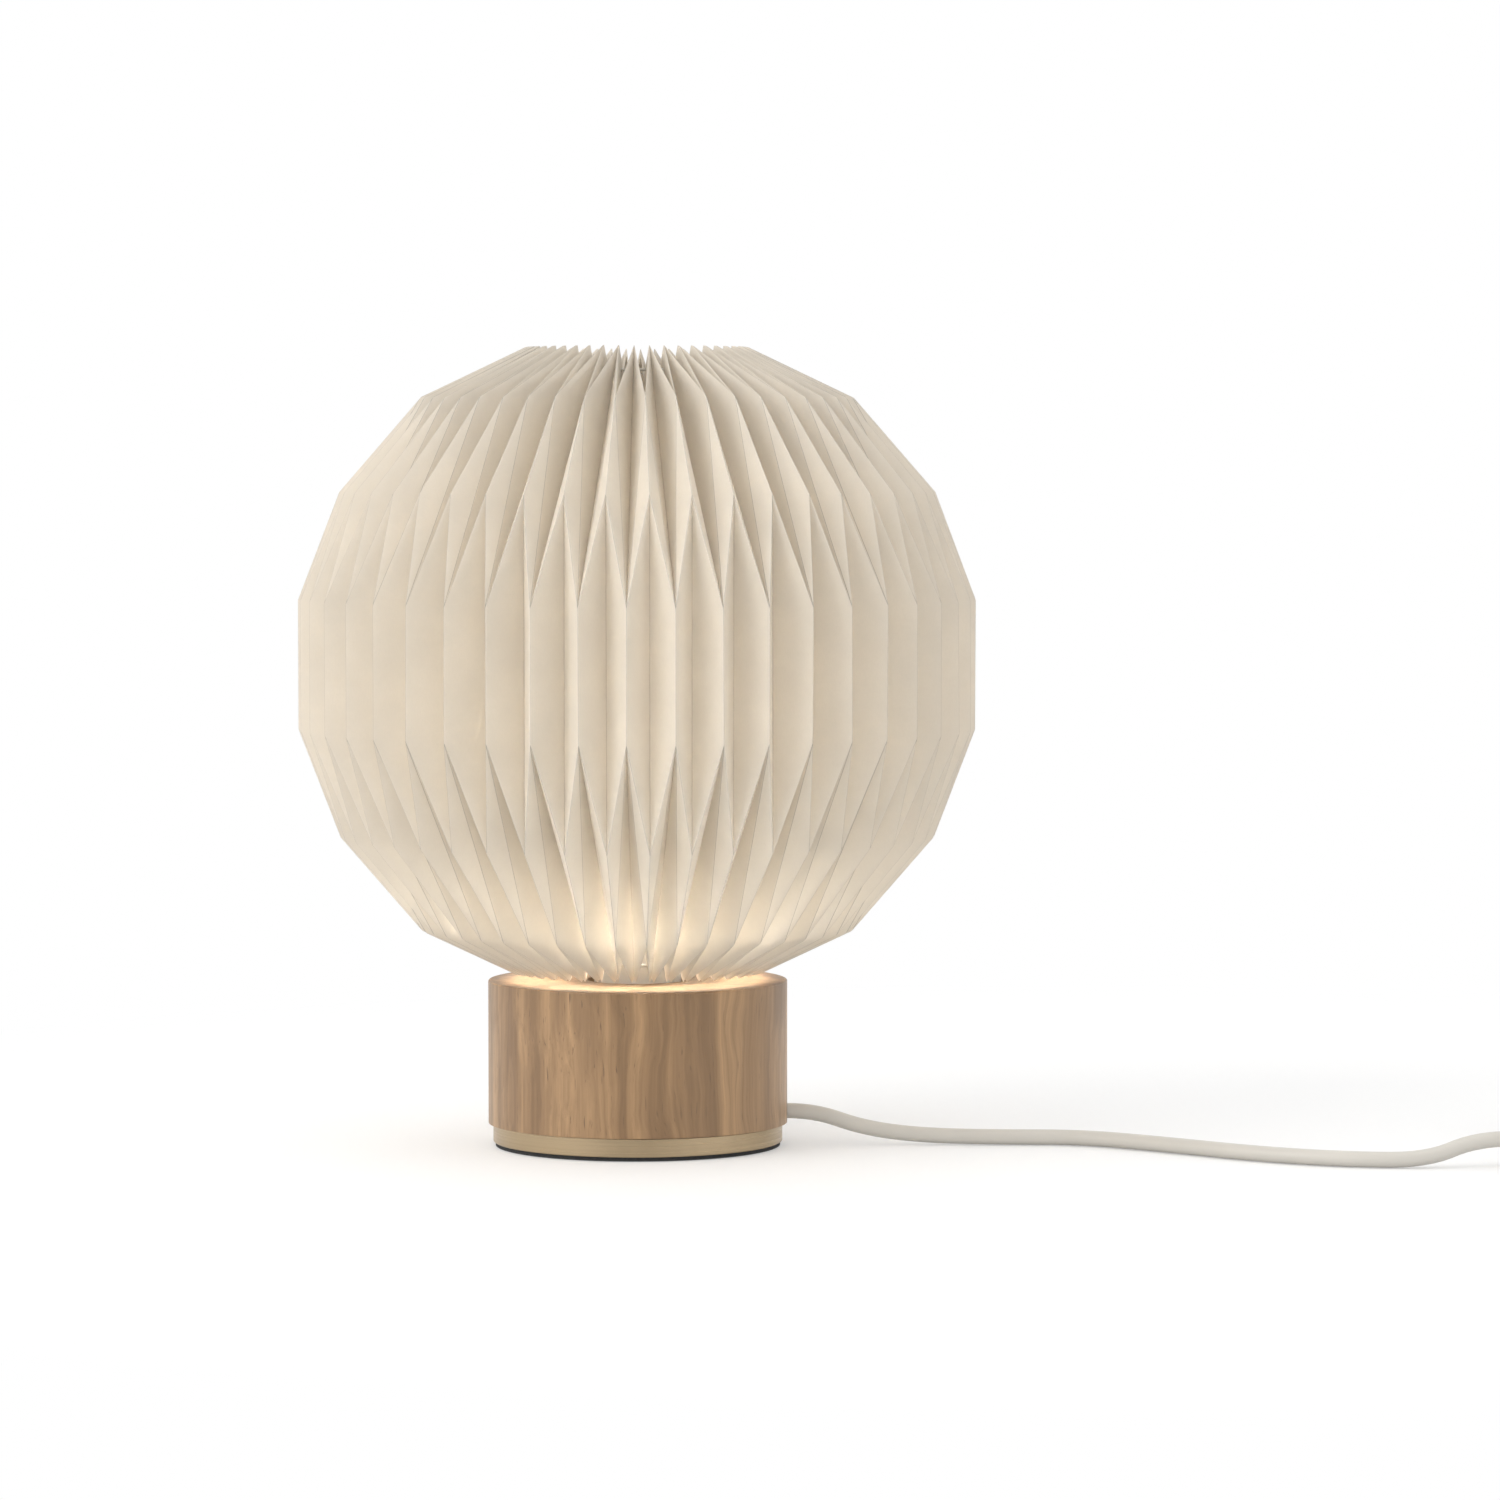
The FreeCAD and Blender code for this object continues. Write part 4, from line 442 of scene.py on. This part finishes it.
def clear_glass(name):
    """Clear glass with a faint haze."""
    made = Finish(name)
    haze = made.noise(30.0, detail=2.0)
    tone = made.blend(made.ramp(haze), rgba(colours().glass), rgba(colours().glass_haze))
    made.surface(tone, made.ramp(haze, low=0.02, high=0.06))
    made.set(Transmission_Weight=1.0, IOR=1.45)
    return made.material


def lit_filament(name):
    """A yellow coat of phosphor, lit."""
    made = Finish(name)
    tones = colours()
    grains = made.noise(1800.0, detail=2.0)
    coat = made.blend(made.ramp(grains, 0.3, 0.7), rgba(tones.phosphor_dark), rgba(tones.phosphor))
    made.surface(coat, made.ramp(grains, low=0.5, high=0.7))
    made.set(Emission_Color=rgba(tones.filament_light), Emission_Strength=3.0)
    return made.material


def ceramic_finish(name):
    """Glazed ceramic with a few specks."""
    made = Finish(name)
    speck = made.noise(900.0, detail=2.0)
    specks = made.ramp(speck, 0.6, 0.75)
    tone = made.blend(specks, rgba(colours().ceramic), rgba(colours().ceramic_speck))
    relief = made.bump(speck, distance=0.00004, strength=0.3)
    made.surface(tone, made.ramp(speck, low=0.3, high=0.42), relief)
    made.set(Coat_Weight=0.4, Coat_Roughness=0.15)
    return made.material


# each look: its maker, the material's name, and what the maker also asks for
LOOKS = {
    "paper": (paper_finish, "pleated_paper", 1.0, 0.42),
    # the crease paper is darker than the sheet: painted shade along every fold
    "crease": (paper_finish, "paper_crease", 0.66, 0.12),
    "oak": (oak_finish, "oiled_oak"),
    "brass": (turned_metal, "brushed_brass", "brass", 0.30, 2600.0),
    "contact_brass": (turned_metal, "contact_brass", "contact_brass", 0.28, 900.0),
    "steel": (turned_metal, "plain_steel", "steel", 0.36, 1500.0),
    "nickel": (turned_metal, "nickel_plate", "nickel", 0.22, 1200.0),
    "solder": (turned_metal, "solder", "solder", 0.4, 500.0),
    "black_pad": (black_pad_finish, "black_pad"),
    "lead": (moulded_plastic, "lead_sheath", "lead", 0.42, 1500.0),
    "moulding": (moulded_plastic, "white_moulding", "moulding", 0.38),
    "holder": (moulded_plastic, "holder_moulding", "moulding", 0.5),
    "black_glass": (moulded_plastic, "black_glass", "black_glass", 0.15),
    "brown_wire": (moulded_plastic, "wire_sheath", "wire", 0.45),
    "white_wire": (moulded_plastic, "painted_wire", "frame_paint", 0.35),
    "ceramic": (ceramic_finish, "glazed_ceramic"),
    "glass": (clear_glass, "bulb_glass"),
    "filament": (lit_filament, "lit_filament"),
    "thread": (cotton_finish, "gathering_cotton", "thread", 1400.0),
    "webbing": (cotton_finish, "tie_webbing", "webbing", 700.0),
}
FINISHES = {}


def finish(look):
    """Each finish is made once and shared by the pieces that have it."""
    if look not in FINISHES:
        maker, *details = LOOKS[look]
        FINISHES[look] = maker(*details)
    return FINISHES[look]


def dress(look, *nodes):
    """Gives carried-over pieces their finish."""
    for node in nodes:
        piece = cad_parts[node]
        if not piece.material_slots:
            piece.data.materials.append(None)
        for slot in piece.material_slots:
            slot.material = finish(look)


# ------------------------------------------------------------------ mesh helpers

WELD = 0.00001
FINE_WELD = 0.000002
CUT = 0.000001


def finished_piece(name, shape, body, look, replaces, smooth_angle=None):
    """Turns a bmesh into a piece that rides on a body and stands for CAD nodes."""
    mesh = bpy.data.meshes.new(name)
    shape.to_mesh(mesh)
    shape.free()
    if smooth_angle is not None:
        mesh.shade_smooth()
        mesh.set_sharp_from_angle(angle=smooth_angle)
    piece = bpy.data.objects.new(name, mesh)
    bpy.context.scene.collection.objects.link(piece)
    mesh.materials.append(finish(look))
    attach(piece, body)
    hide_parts(*replaces)
    return piece


def chain(shape, places):
    """Points joined one after the other, as geometry for a spin."""
    points = [shape.verts.new(place) for place in places]
    return points + [shape.edges.new(pair) for pair in zip(points, points[1:])]


def spun(shape, profile, steps):
    """Turns a profile of (radius, height) points a full turn round Z."""
    line = chain(shape, [(radius, 0.0, height) for radius, height in profile])
    bmesh.ops.spin(
        shape, geom=line, cent=(0, 0, 0), axis=(0, 0, 1), angle=math.tau, steps=steps,
        use_merge=True,
    )
    bmesh.ops.remove_doubles(shape, verts=shape.verts, dist=WELD)


# ------------------------------------------------------------------ the lead

CORD_EXIT = (0.0465, 0.0, 0.0103)
SWITCH_NEAR = (0.264, -0.062, 0.0085)
SWITCH_FAR = (0.322, -0.062, 0.0085)
PLUG_START = (0.3535, 0.0768, 0.007)
COIL_X = 0.3245
COIL_Y = 0.014
COIL_LOW = 0.0034
COIL_INNER = 0.0212
COIL_PITCH = 0.0054
COIL_CLIMB_TURNS = 0.5
POINTS_PER_TURN = 16

LEAD_ROUTE = [
    CORD_EXIT,
    (0.055, 0.0, 0.0103),
    (0.070, -0.0008, 0.0050),
    (0.088, -0.0020, 0.0027),
    (0.112, -0.0045, 0.0024),
    (0.138, -0.0050, 0.0024),
    (0.162, -0.0240, 0.0024),
    (0.190, -0.0500, 0.0024),
    (0.216, -0.0630, 0.0024),
    (0.238, -0.0640, 0.0024),
    (0.253, -0.0620, 0.0085),
    SWITCH_NEAR,
]
LINK_ROUTE = [
    SWITCH_FAR,
    (0.3365, -0.0620, 0.0085),
    (0.3490, -0.0547, 0.0069),
    (0.3564, -0.0420, 0.0049),
    (0.3574, -0.0240, 0.0036),
    (0.3565, -0.0058, 0.0034),
]
END_ROUTE = [
    (0.3565, 0.0298, 0.0196),
    (0.3575, 0.0478, 0.0133),
    (0.3535, 0.0648, 0.0070),
    PLUG_START,
]


def coil_height(turns, per_layer, layers):
    """The lead's height in the coil: level in a layer, with a climb at each change."""
    height = COIL_LOW
    for change in range(1, layers):
        since = turns - change * per_layer + COIL_CLIMB_TURNS / 2
        climbed = min(max(since / COIL_CLIMB_TURNS, 0.0), 1.0)
        height += COIL_PITCH * (1 - math.cos(math.pi * climbed)) / 2
    return height


def coil_route():
    """The turns of the put-away lead: in and out in layers, climbing where they turn back."""
    layers = sizes().coil_layers
    per_layer = sizes().coil_turns
    thick = sizes().lead_diameter
    outer = COIL_INNER + COIL_PITCH * per_layer
    # a smooth line cuts inside its points, so they stand this much further out
    widen = 2.0 / (1.0 + math.cos(math.tau / POINTS_PER_TURN))
    points = [(COIL_X + outer, COIL_Y - thick, COIL_LOW)]
    for number in range(layers * per_layer * POINTS_PER_TURN + 1):
        turns = number / POINTS_PER_TURN
        layer = min(int(turns / per_layer), layers - 1)
        share = turns - layer * per_layer
        inwards = layer % 2 == 0
        radius = outer - COIL_PITCH * share if inwards else COIL_INNER + COIL_PITCH * share
        angle = math.tau * turns
        across = COIL_X + radius * widen * math.cos(angle)
        along = COIL_Y + radius * widen * math.sin(angle)
        points.append((across, along, coil_height(turns, per_layer, layers)))
    top = COIL_LOW + COIL_PITCH * (layers - 1)
    points.append((COIL_X + outer, COIL_Y + thick, top))
    return points


def lead_piece(name, points):
    """A length of the round lead on one smooth spline, with its points as given."""
    line = bpy.data.curves.new(name, "CURVE")
    line.dimensions = "3D"
    line.bevel_depth = sizes().lead_diameter / 2
    line.bevel_resolution = 5
    line.resolution_u = 6
    line.use_fill_caps = True
    spline = line.splines.new("NURBS")
    spline.points.add(len(points) - 1)
    for point, place in zip(spline.points, points):
        point.co = (*place, 1.0)
    spline.order_u = 3
    spline.use_endpoint_u = True
    line.materials.append(finish("lead"))
    piece = bpy.data.objects.new(name, line)
    bpy.context.scene.collection.objects.link(piece)
    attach(piece, "base")
    return piece


def strap_outline(left, right, bottom, top):
    """An upright rectangle with rounded corners, as (across, level) points."""
    bend = 0.0022
    steps = 4
    corners = (
        (right - bend, top - bend, 0),
        (left + bend, top - bend, 1),
        (left + bend, bottom + bend, 2),
        (right - bend, bottom + bend, 3),
    )
    outline = []
    for across, level, quarter in corners:
        for step in range(steps + 1):
            angle = math.pi / 2 * (quarter + step / steps)
            outline.append((across + bend * math.cos(angle), level + bend * math.sin(angle)))
    return outline


def make_coil_tie():
    """A webbing strap round the bundle, its tail lapped under the top."""
    low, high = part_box("coil_tie")
    thick = 0.0008
    tail_length = 0.012
    tail_inset = 0.0006
    tail_thick = thick * 0.8
    tail_level = high[2] - thick * 1.5
    width = high[1] - low[1]
    shape = bmesh.new()
    outline = strap_outline(low[0], high[0], low[2], high[2])
    start = [shape.verts.new((across, low[1], level)) for across, level in outline]
    edges = [shape.edges.new(pair) for pair in zip(start, start[1:] + start[:1])]
    made = bmesh.ops.extrude_edge_only(shape, edges=edges)
    moved = [item for item in made["geom"] if isinstance(item, bmesh.types.BMVert)]
    bmesh.ops.translate(shape, verts=moved, vec=(0, width, 0))
    bmesh.ops.recalc_face_normals(shape, faces=shape.faces)
    bmesh.ops.solidify(shape, geom=shape.faces, thickness=thick)
    tail = bmesh.ops.create_cube(shape, size=1.0)["verts"]
    tail_size = (tail_length, width - tail_inset, tail_thick)
    tail_middle = ((low[0] + high[0]) / 2, (low[1] + high[1]) / 2, tail_level)
    bmesh.ops.scale(shape, vec=tail_size, verts=tail)
    bmesh.ops.translate(shape, verts=tail, vec=tail_middle)
    return finished_piece(
        "coil_strap", shape, "base", "webbing", ["coil_tie"],
        smooth_angle=math.radians(35),
    )


class LAMP_OT_lead(bpy.types.Operator):
    """The white mains lead: base to switch, and on through its coil to the plug."""

    bl_idname = "lamp.lead"
    bl_label = "Mains lead"

    def execute(self, context):
        near = lead_piece("lead_to_switch", LEAD_ROUTE)
        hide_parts("cord_lead")
        far = lead_piece("lead_to_plug", LINK_ROUTE + coil_route() + END_ROUTE)
        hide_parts("cord_link", "cord_coil", "cord_end")
        tie = make_coil_tie()
        return {"FINISHED"}


class LAMP_OT_switch(bpy.types.Operator):
    """The in-line switch: two shells, a rocker on its pin, and two screws."""

    bl_idname = "lamp.switch"
    bl_label = "In-line switch"

    def execute(self, context):
        dress("moulding", "switch_lower_shell", "switch_upper_shell", "switch_rocker")
        dress("steel", "switch_pin", "switch_screws")
        return {"FINISHED"}


class LAMP_OT_plug(bpy.types.Operator):
    """The flat two-pin plug with its tapered relief."""

    bl_idname = "lamp.plug"
    bl_label = "Plug"

    def execute(self, context):
        dress("moulding", "plug_body")
        dress("nickel", "plug_pins")
        return {"FINISHED"}


# ------------------------------------------------------------------ base and foot


class LAMP_OT_oak_base(bpy.types.Operator):
    """The turned oak drum with its upright grain."""

    bl_idname = "lamp.oak_base"
    bl_label = "Oak base"

    def execute(self, context):
        dress("oak", "wood_base")
        return {"FINISHED"}


class LAMP_OT_brass_foot(bpy.types.Operator):
    """The brushed brass plate, its screws, and the black pad under it."""

    bl_idname = "lamp.brass_foot"
    bl_label = "Brass foot"

    def execute(self, context):
        dress("brass", "foot_plate")
        dress("black_pad", "foot_pad")
        dress("steel", "foot_screws")
        return {"FINISHED"}


class LAMP_OT_inner_wiring(bpy.types.Operator):
    """The lead's end, its clamp, the wires and the threaded tube inside the base."""

    bl_idname = "lamp.inner_wiring"
    bl_label = "Wiring in the base"

    def execute(self, context):
        dress("steel", "cord_clamp_bar", "cord_clamp_screws")
        dress("steel", "threaded_tube", "tube_washer", "tube_nut")
        dress("lead", "inner_cord")
        dress("brown_wire", "inner_conductors")
        return {"FINISHED"}


# ------------------------------------------------------------------ the paper shade

FLAT_WITHIN = math.radians(0.6)
CREASE_FROM = math.radians(12)
WANDER_WAVES_PER_METRE = 70.0
WANDER_UPRIGHT_SHARE = 0.3
WANDER_SEED = 1


def let_folds_wander(shape, reach):
    """Moves the corners a little, as hand folding does, but none of them outwards."""
    # without a seed the noise starts from the clock, and each run folds differently
    noise.seed_set(WANDER_SEED)
    for vert in shape.verts:
        push = noise.noise_vector(vert.co * WANDER_WAVES_PER_METRE) * reach
        away = Vector((vert.co.x, vert.co.y, 0.0)).normalized()
        push -= away * max(push.dot(away), 0.0)
        push.z *= WANDER_UPRIGHT_SHARE
        vert.co = vert.co + push


class LAMP_OT_paper_shade(bpy.types.Operator):
    """The cross-pleated sheet, with soft creases that stray as folded paper does."""

    bl_idname = "lamp.paper_shade"
    bl_label = "Paper shade"

    def execute(self, context):
        shape = bmesh.new()
        shape.from_mesh(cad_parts["pleated_shade"].data)
        bmesh.ops.remove_doubles(shape, verts=shape.verts, dist=FINE_WELD)
        bmesh.ops.dissolve_limit(
            shape, angle_limit=FLAT_WITHIN, verts=shape.verts, edges=shape.edges,
            use_dissolve_boundaries=False, delimit=set(),
        )
        let_folds_wander(shape, sizes().fold_wander)
        piece = finished_piece("paper_shade", shape, "shade", "paper", ["pleated_shade"])
        # the bevelled faces along every fold take the darker crease paper, painted shade along the
        # folds
        piece.data.materials.append(finish("crease"))
        soft = piece.modifiers.new("Soft creases", "BEVEL")
        soft.material = 1
        soft.width = sizes().crease_width
        soft.segments = 2
        soft.limit_method = "ANGLE"
        soft.angle_limit = CREASE_FROM
        soft.use_clamp_overlap = True
        return {"FINISHED"}


class LAMP_OT_gather_cords(bpy.types.Operator):
    """The two cotton cords that gather the pleats at the shade's necks."""

    bl_idname = "lamp.gather_cords"
    bl_label = "Gathering cords"

    def execute(self, context):
        sides = 12
        steps = 96
        names = {
            "top_gather_cord": "top_gather_thread",
            "bottom_gather_cord": "bottom_gather_thread",
        }
        for node, name in names.items():
            low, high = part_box(node)
            radius = (high[2] - low[2]) / 2
            ring = (high[0] - low[0]) / 2 - radius
            level = (high[2] + low[2]) / 2
            turns = [math.tau * side / sides for side in range(sides + 1)]
            profile = [
                (ring + radius * math.cos(turn), level + radius * math.sin(turn))
                for turn in turns
            ]
            shape = bmesh.new()
            spun(shape, profile, steps)
            bmesh.ops.recalc_face_normals(shape, faces=shape.faces)
            finished_piece(
                name, shape, "shade", "thread", [node],
                smooth_angle=math.radians(60),
            )
        return {"FINISHED"}


# ------------------------------------------------------------------ holder, frame and bulb


class LAMP_OT_holder(bpy.types.Operator):
    """The bulb holder: cap, sleeve, ring, ceramic block and contacts."""

    bl_idname = "lamp.holder"
    bl_label = "Bulb holder"

    def execute(self, context):
        dress("holder", "holder_cap", "holder_sleeve", "shade_ring")
        dress("ceramic", "contact_block")
        dress("contact_brass", "terminal_screws", "screw_shell", "centre_contact")
        return {"FINISHED"}


class LAMP_OT_wire_frame(bpy.types.Operator):
    """The white wire frame that the shade hangs on."""

    bl_idname = "lamp.wire_frame"
    bl_label = "Wire frame"

    def execute(self, context):
        dress("white_wire", "shade_carrier")
        return {"FINISHED"}


CAP_STEPS = 48
THREAD_ROWS = 8
CAP_COLLAR = 0.004
CAP_SHEET = 0.0003


def make_screw_cap():
    """The bulb's cap: a thread rolled into thin sheet, under a plain collar."""
    low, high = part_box("bulb_cap")
    radius = (high[0] - low[0]) / 2
    bottom = low[2]
    top = high[2] - CAP_COLLAR
    pitch = sizes().thread_pitch
    depth = sizes().thread_depth
    # a ripple a whole turn longer at each end climbs one pitch while it goes round
    profile = []
    for row in range((math.ceil((top - bottom) / pitch) + 2) * THREAD_ROWS + 1):
        swell = depth * (1 + math.cos(math.tau * row / THREAD_ROWS)) / 2
        profile.append((radius - depth + swell, 0.0, bottom - pitch + pitch * row / THREAD_ROWS))
    shape = bmesh.new()
    bmesh.ops.spin(
        shape, geom=chain(shape, profile), cent=(0, 0, 0), axis=(0, 0, 1),
        dvec=(0, 0, pitch / CAP_STEPS), angle=math.tau, steps=CAP_STEPS, use_merge=False,
    )
    bmesh.ops.remove_doubles(shape, verts=shape.verts, dist=WELD)
    for level, side in ((bottom, -1), (top, 1)):
        everything = shape.verts[:] + shape.edges[:] + shape.faces[:]
        bmesh.ops.bisect_plane(
            shape, geom=everything, dist=CUT, plane_co=(0, 0, level), plane_no=(0, 0, side),
            clear_outer=True,
        )
    spun(shape, [(radius, top), (radius, high[2])], CAP_STEPS)
    bmesh.ops.recalc_face_normals(shape, faces=shape.faces)
    bmesh.ops.solidify(shape, geom=shape.faces, thickness=CAP_SHEET)
    finished_piece(
        "bulb_screw_cap", shape, "bulb", "nickel", ["bulb_cap"],
        smooth_angle=math.radians(50),
    )


class LAMP_OT_bulb(bpy.types.Operator):
    """The globe bulb: rolled thread, glass, stem and lit filaments."""

    bl_idname = "lamp.bulb"
    bl_label = "Bulb"

    def execute(self, context):
        make_screw_cap()
        dress("solder", "bulb_tip")
        dress("black_glass", "bulb_insulator")
        dress("glass", "bulb_glass", "bulb_stem")
        dress("filament", "bulb_filaments")
        for node in ("bulb_glass", "bulb_stem", "bulb_filaments"):
            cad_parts[node].visible_shadow = False
        return {"FINISHED"}


# ------------------------------------------------------------------ stage

KEY_PLACE = (-1.2, -0.8, 0.9)
KEY_AIM = (0.0, 0.0, 0.13)
KEY_WIDTH = 1.3
FILL_PLACE = (1.2, -0.8, 0.6)
FILL_AIM = (0.0, 0.0, 0.12)
FILL_WIDTH = 1.2
BULB_LIGHT_RADIUS = 0.012
BULB_FOOT_DROP = 0.004
BULB_FOOT_WIDTH = 0.056
SENSOR_WIDTH = 36.0
WHITE = (1.0, 1.0, 1.0)
MATT = 0.9
FLOOR_TONE = (0.74, 0.74, 0.74)
FLOOR_REACH = 4.0
FLOOR_DROP = 0.0002
FADE_MIDDLE = (0.15, 0.0, 0.0)
FADE_START = 0.20
FADE_END = 0.52
CARD_TONE = (0.05, 0.04, 0.03)
CARD_REACH = 1.2
CARD_PLACE = (0.05, -2.0, 0.4)


def placed_light(name, light, place):
    """Puts a light into the scene at its place."""
    lamp = bpy.data.objects.new(name, light)
    lamp.location = place
    bpy.context.scene.collection.objects.link(lamp)
    return lamp


def soft_lamp(name, place, aim, width, power, hue):
    """A round soft light that faces its aim."""
    light = bpy.data.lights.new(name, "AREA")
    light.shape = "DISK"
    light.size = width
    light.energy = power
    light.color = hue
    lamp = placed_light(name, light, place)
    facing = Vector(aim) - Vector(place)
    lamp.rotation_euler = facing.to_track_quat("-Z", "Y").to_euler()
    return lamp


def light_bulb():
    """The bulb's light: all round from its middle, and downwards from its neck."""
    settings = stage_settings()
    low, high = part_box("bulb_filaments")
    glow = bpy.data.lights.new("bulb_light", "POINT")
    glow.energy = settings.bulb_power
    glow.color = settings.bulb_hue
    glow.shadow_soft_size = BULB_LIGHT_RADIUS
    placed_light("bulb_light", glow, (0, 0, (low[2] + high[2]) / 2))
    neck = (0, 0, low[2] - BULB_FOOT_DROP)
    power = settings.bulb_low_power
    foot = soft_lamp("bulb_downwards", neck, (0, 0, 0), BULB_FOOT_WIDTH, power, settings.bulb_hue)
    foot.visible_camera = False
    foot.visible_glossy = False


def stage_sheet(name, reach, place, face, material):
    """A flat square for the stage, facing as given and with its place in its mesh."""
    shape = bmesh.new()
    bmesh.ops.create_grid(shape, x_segments=1, y_segments=1, size=reach)
    turn = Vector((0, 0, 1)).rotation_difference(Vector(face)).to_matrix()
    bmesh.ops.rotate(shape, verts=shape.verts, cent=(0, 0, 0), matrix=turn)
    bmesh.ops.translate(shape, verts=shape.verts, vec=place)
    mesh = bpy.data.meshes.new(name)
    shape.to_mesh(mesh)
    shape.free()
    mesh.materials.append(material)
    sheet = bpy.data.objects.new(name, mesh)
    bpy.context.scene.collection.objects.link(sheet)
    return sheet


def matt_finish(name, hue):
    """A plain matt finish for the stage."""
    made = Finish(name)
    made.set(Base_Color=rgba(hue), Roughness=MATT)
    return made


def make_floor():
    """A pale floor that runs out into the white surroundings away from the lamp."""
    made = matt_finish("pale_floor", FLOOR_TONE)
    made.set(Emission_Color=rgba(WHITE))
    seen = made.seen_straight()
    lift = made.math("MULTIPLY", seen, stage_settings().floor_lift)
    made.link(lift, made.shader.inputs["Emission Strength"])
    away = made.node("ShaderNodeVectorMath", operation="DISTANCE")
    away.inputs[1].default_value = FADE_MIDDLE
    made.link(made.at, away.inputs[0])
    fade = made.ramp(away.outputs["Value"], FADE_START, FADE_END, shape="SMOOTHSTEP")
    white = made.node("ShaderNodeEmission")
    made.two_shaders(made.math("MULTIPLY", seen, fade), made.shader, white)
    floor = stage_sheet("floor", FLOOR_REACH, (0, 0, -FLOOR_DROP), (0, 0, 1), made.material)


def make_dark_card():
    """A dark card behind the camera, which only the lamp's shiny parts show."""
    made = matt_finish("card_board", CARD_TONE)
    card = stage_sheet("dark_card", CARD_REACH, CARD_PLACE, (0, 1, 0), made.material)
    card.visible_camera = False
    card.visible_diffuse = False
    card.visible_shadow = False


def make_surroundings():
    """White where it is seen, and a softer light from all round."""
    world = bpy.data.worlds.new("white_surroundings")
    nodes = Nodes(world)
    background = nodes.tree.nodes["Background"]
    background.inputs["Color"].default_value = rgba(WHITE)
    strength = nodes.ramp(nodes.seen_straight(), low=stage_settings().sky)
    nodes.link(strength, background.inputs["Strength"])
    bpy.context.scene.world = world


def make_camera():
    """The camera, in front of the lamp and a little above it."""
    settings = stage_settings()
    camera = bpy.data.cameras.new("camera")
    camera.lens = settings.lens
    camera.sensor_width = SENSOR_WIDTH
    view = bpy.data.objects.new("camera", camera)
    view.location = (0, -settings.distance, settings.camera_height)
    view.rotation_euler = (math.pi / 2 - settings.tilt_down, 0, -settings.turn_right)
    bpy.context.scene.collection.objects.link(view)
    bpy.context.scene.camera = view


class LAMP_OT_stage(bpy.types.Operator):
    """A pale floor, white surroundings, soft light from the left, and the camera."""

    bl_idname = "lamp.stage"
    bl_label = "Stage"

    def execute(self, context):
        settings = stage_settings()
        context.scene.view_settings.view_transform = "Standard"
        make_floor()
        make_dark_card()
        make_surroundings()
        soft_lamp("key", KEY_PLACE, KEY_AIM, KEY_WIDTH, settings.key_power, settings.key_hue)
        soft_lamp("fill", FILL_PLACE, FILL_AIM, FILL_WIDTH, settings.fill_power, settings.fill_hue)
        light_bulb()
        make_camera()
        return {"FINISHED"}


# ------------------------------------------------------------------ panel and registration

OPERATORS = (
    LAMP_OT_stage,
    LAMP_OT_lead,
    LAMP_OT_switch,
    LAMP_OT_plug,
    LAMP_OT_oak_base,
    LAMP_OT_brass_foot,
    LAMP_OT_inner_wiring,
    LAMP_OT_paper_shade,
    LAMP_OT_gather_cords,
    LAMP_OT_holder,
    LAMP_OT_wire_frame,
    LAMP_OT_bulb,
)


class LAMP_PT_sidebar(bpy.types.Panel):
    """Every piece of the lamp, with the sizes, colours and light it is made from."""

    bl_idname = "LAMP_PT_sidebar"
    bl_label = "Pleated lamp"
    bl_space_type = "VIEW_3D"
    bl_region_type = "UI"
    bl_category = "Lamp"

    def draw(self, context):
        layout = self.layout
        for operator in OPERATORS:
            layout.operator(operator.bl_idname)
        groups = (("Sizes", sizes()), ("Colours", colours()), ("Stage", stage_settings()))
        for title, group in groups:
            box = layout.box()
            box.label(text=title)
            for name in group.__annotations__:
                box.prop(group, name)


CLASSES = (LampSizes, LampColours, StageSettings, *OPERATORS, LAMP_PT_sidebar)


def register():
    for item in CLASSES:
        bpy.utils.register_class(item)
    bpy.types.Scene.lamp_sizes = PointerProperty(type=LampSizes)
    bpy.types.Scene.lamp_colours = PointerProperty(type=LampColours)
    bpy.types.Scene.lamp_stage = PointerProperty(type=StageSettings)


def unregister():
    for name in ("lamp_stage", "lamp_colours", "lamp_sizes"):
        delattr(bpy.types.Scene, name)
    for item in reversed(CLASSES):
        bpy.utils.unregister_class(item)


def main():
    register()
    for operator in OPERATORS:
        group, name = operator.bl_idname.split(".")
        getattr(getattr(bpy.ops, group), name)()


if __name__ == "__main__":
    main()
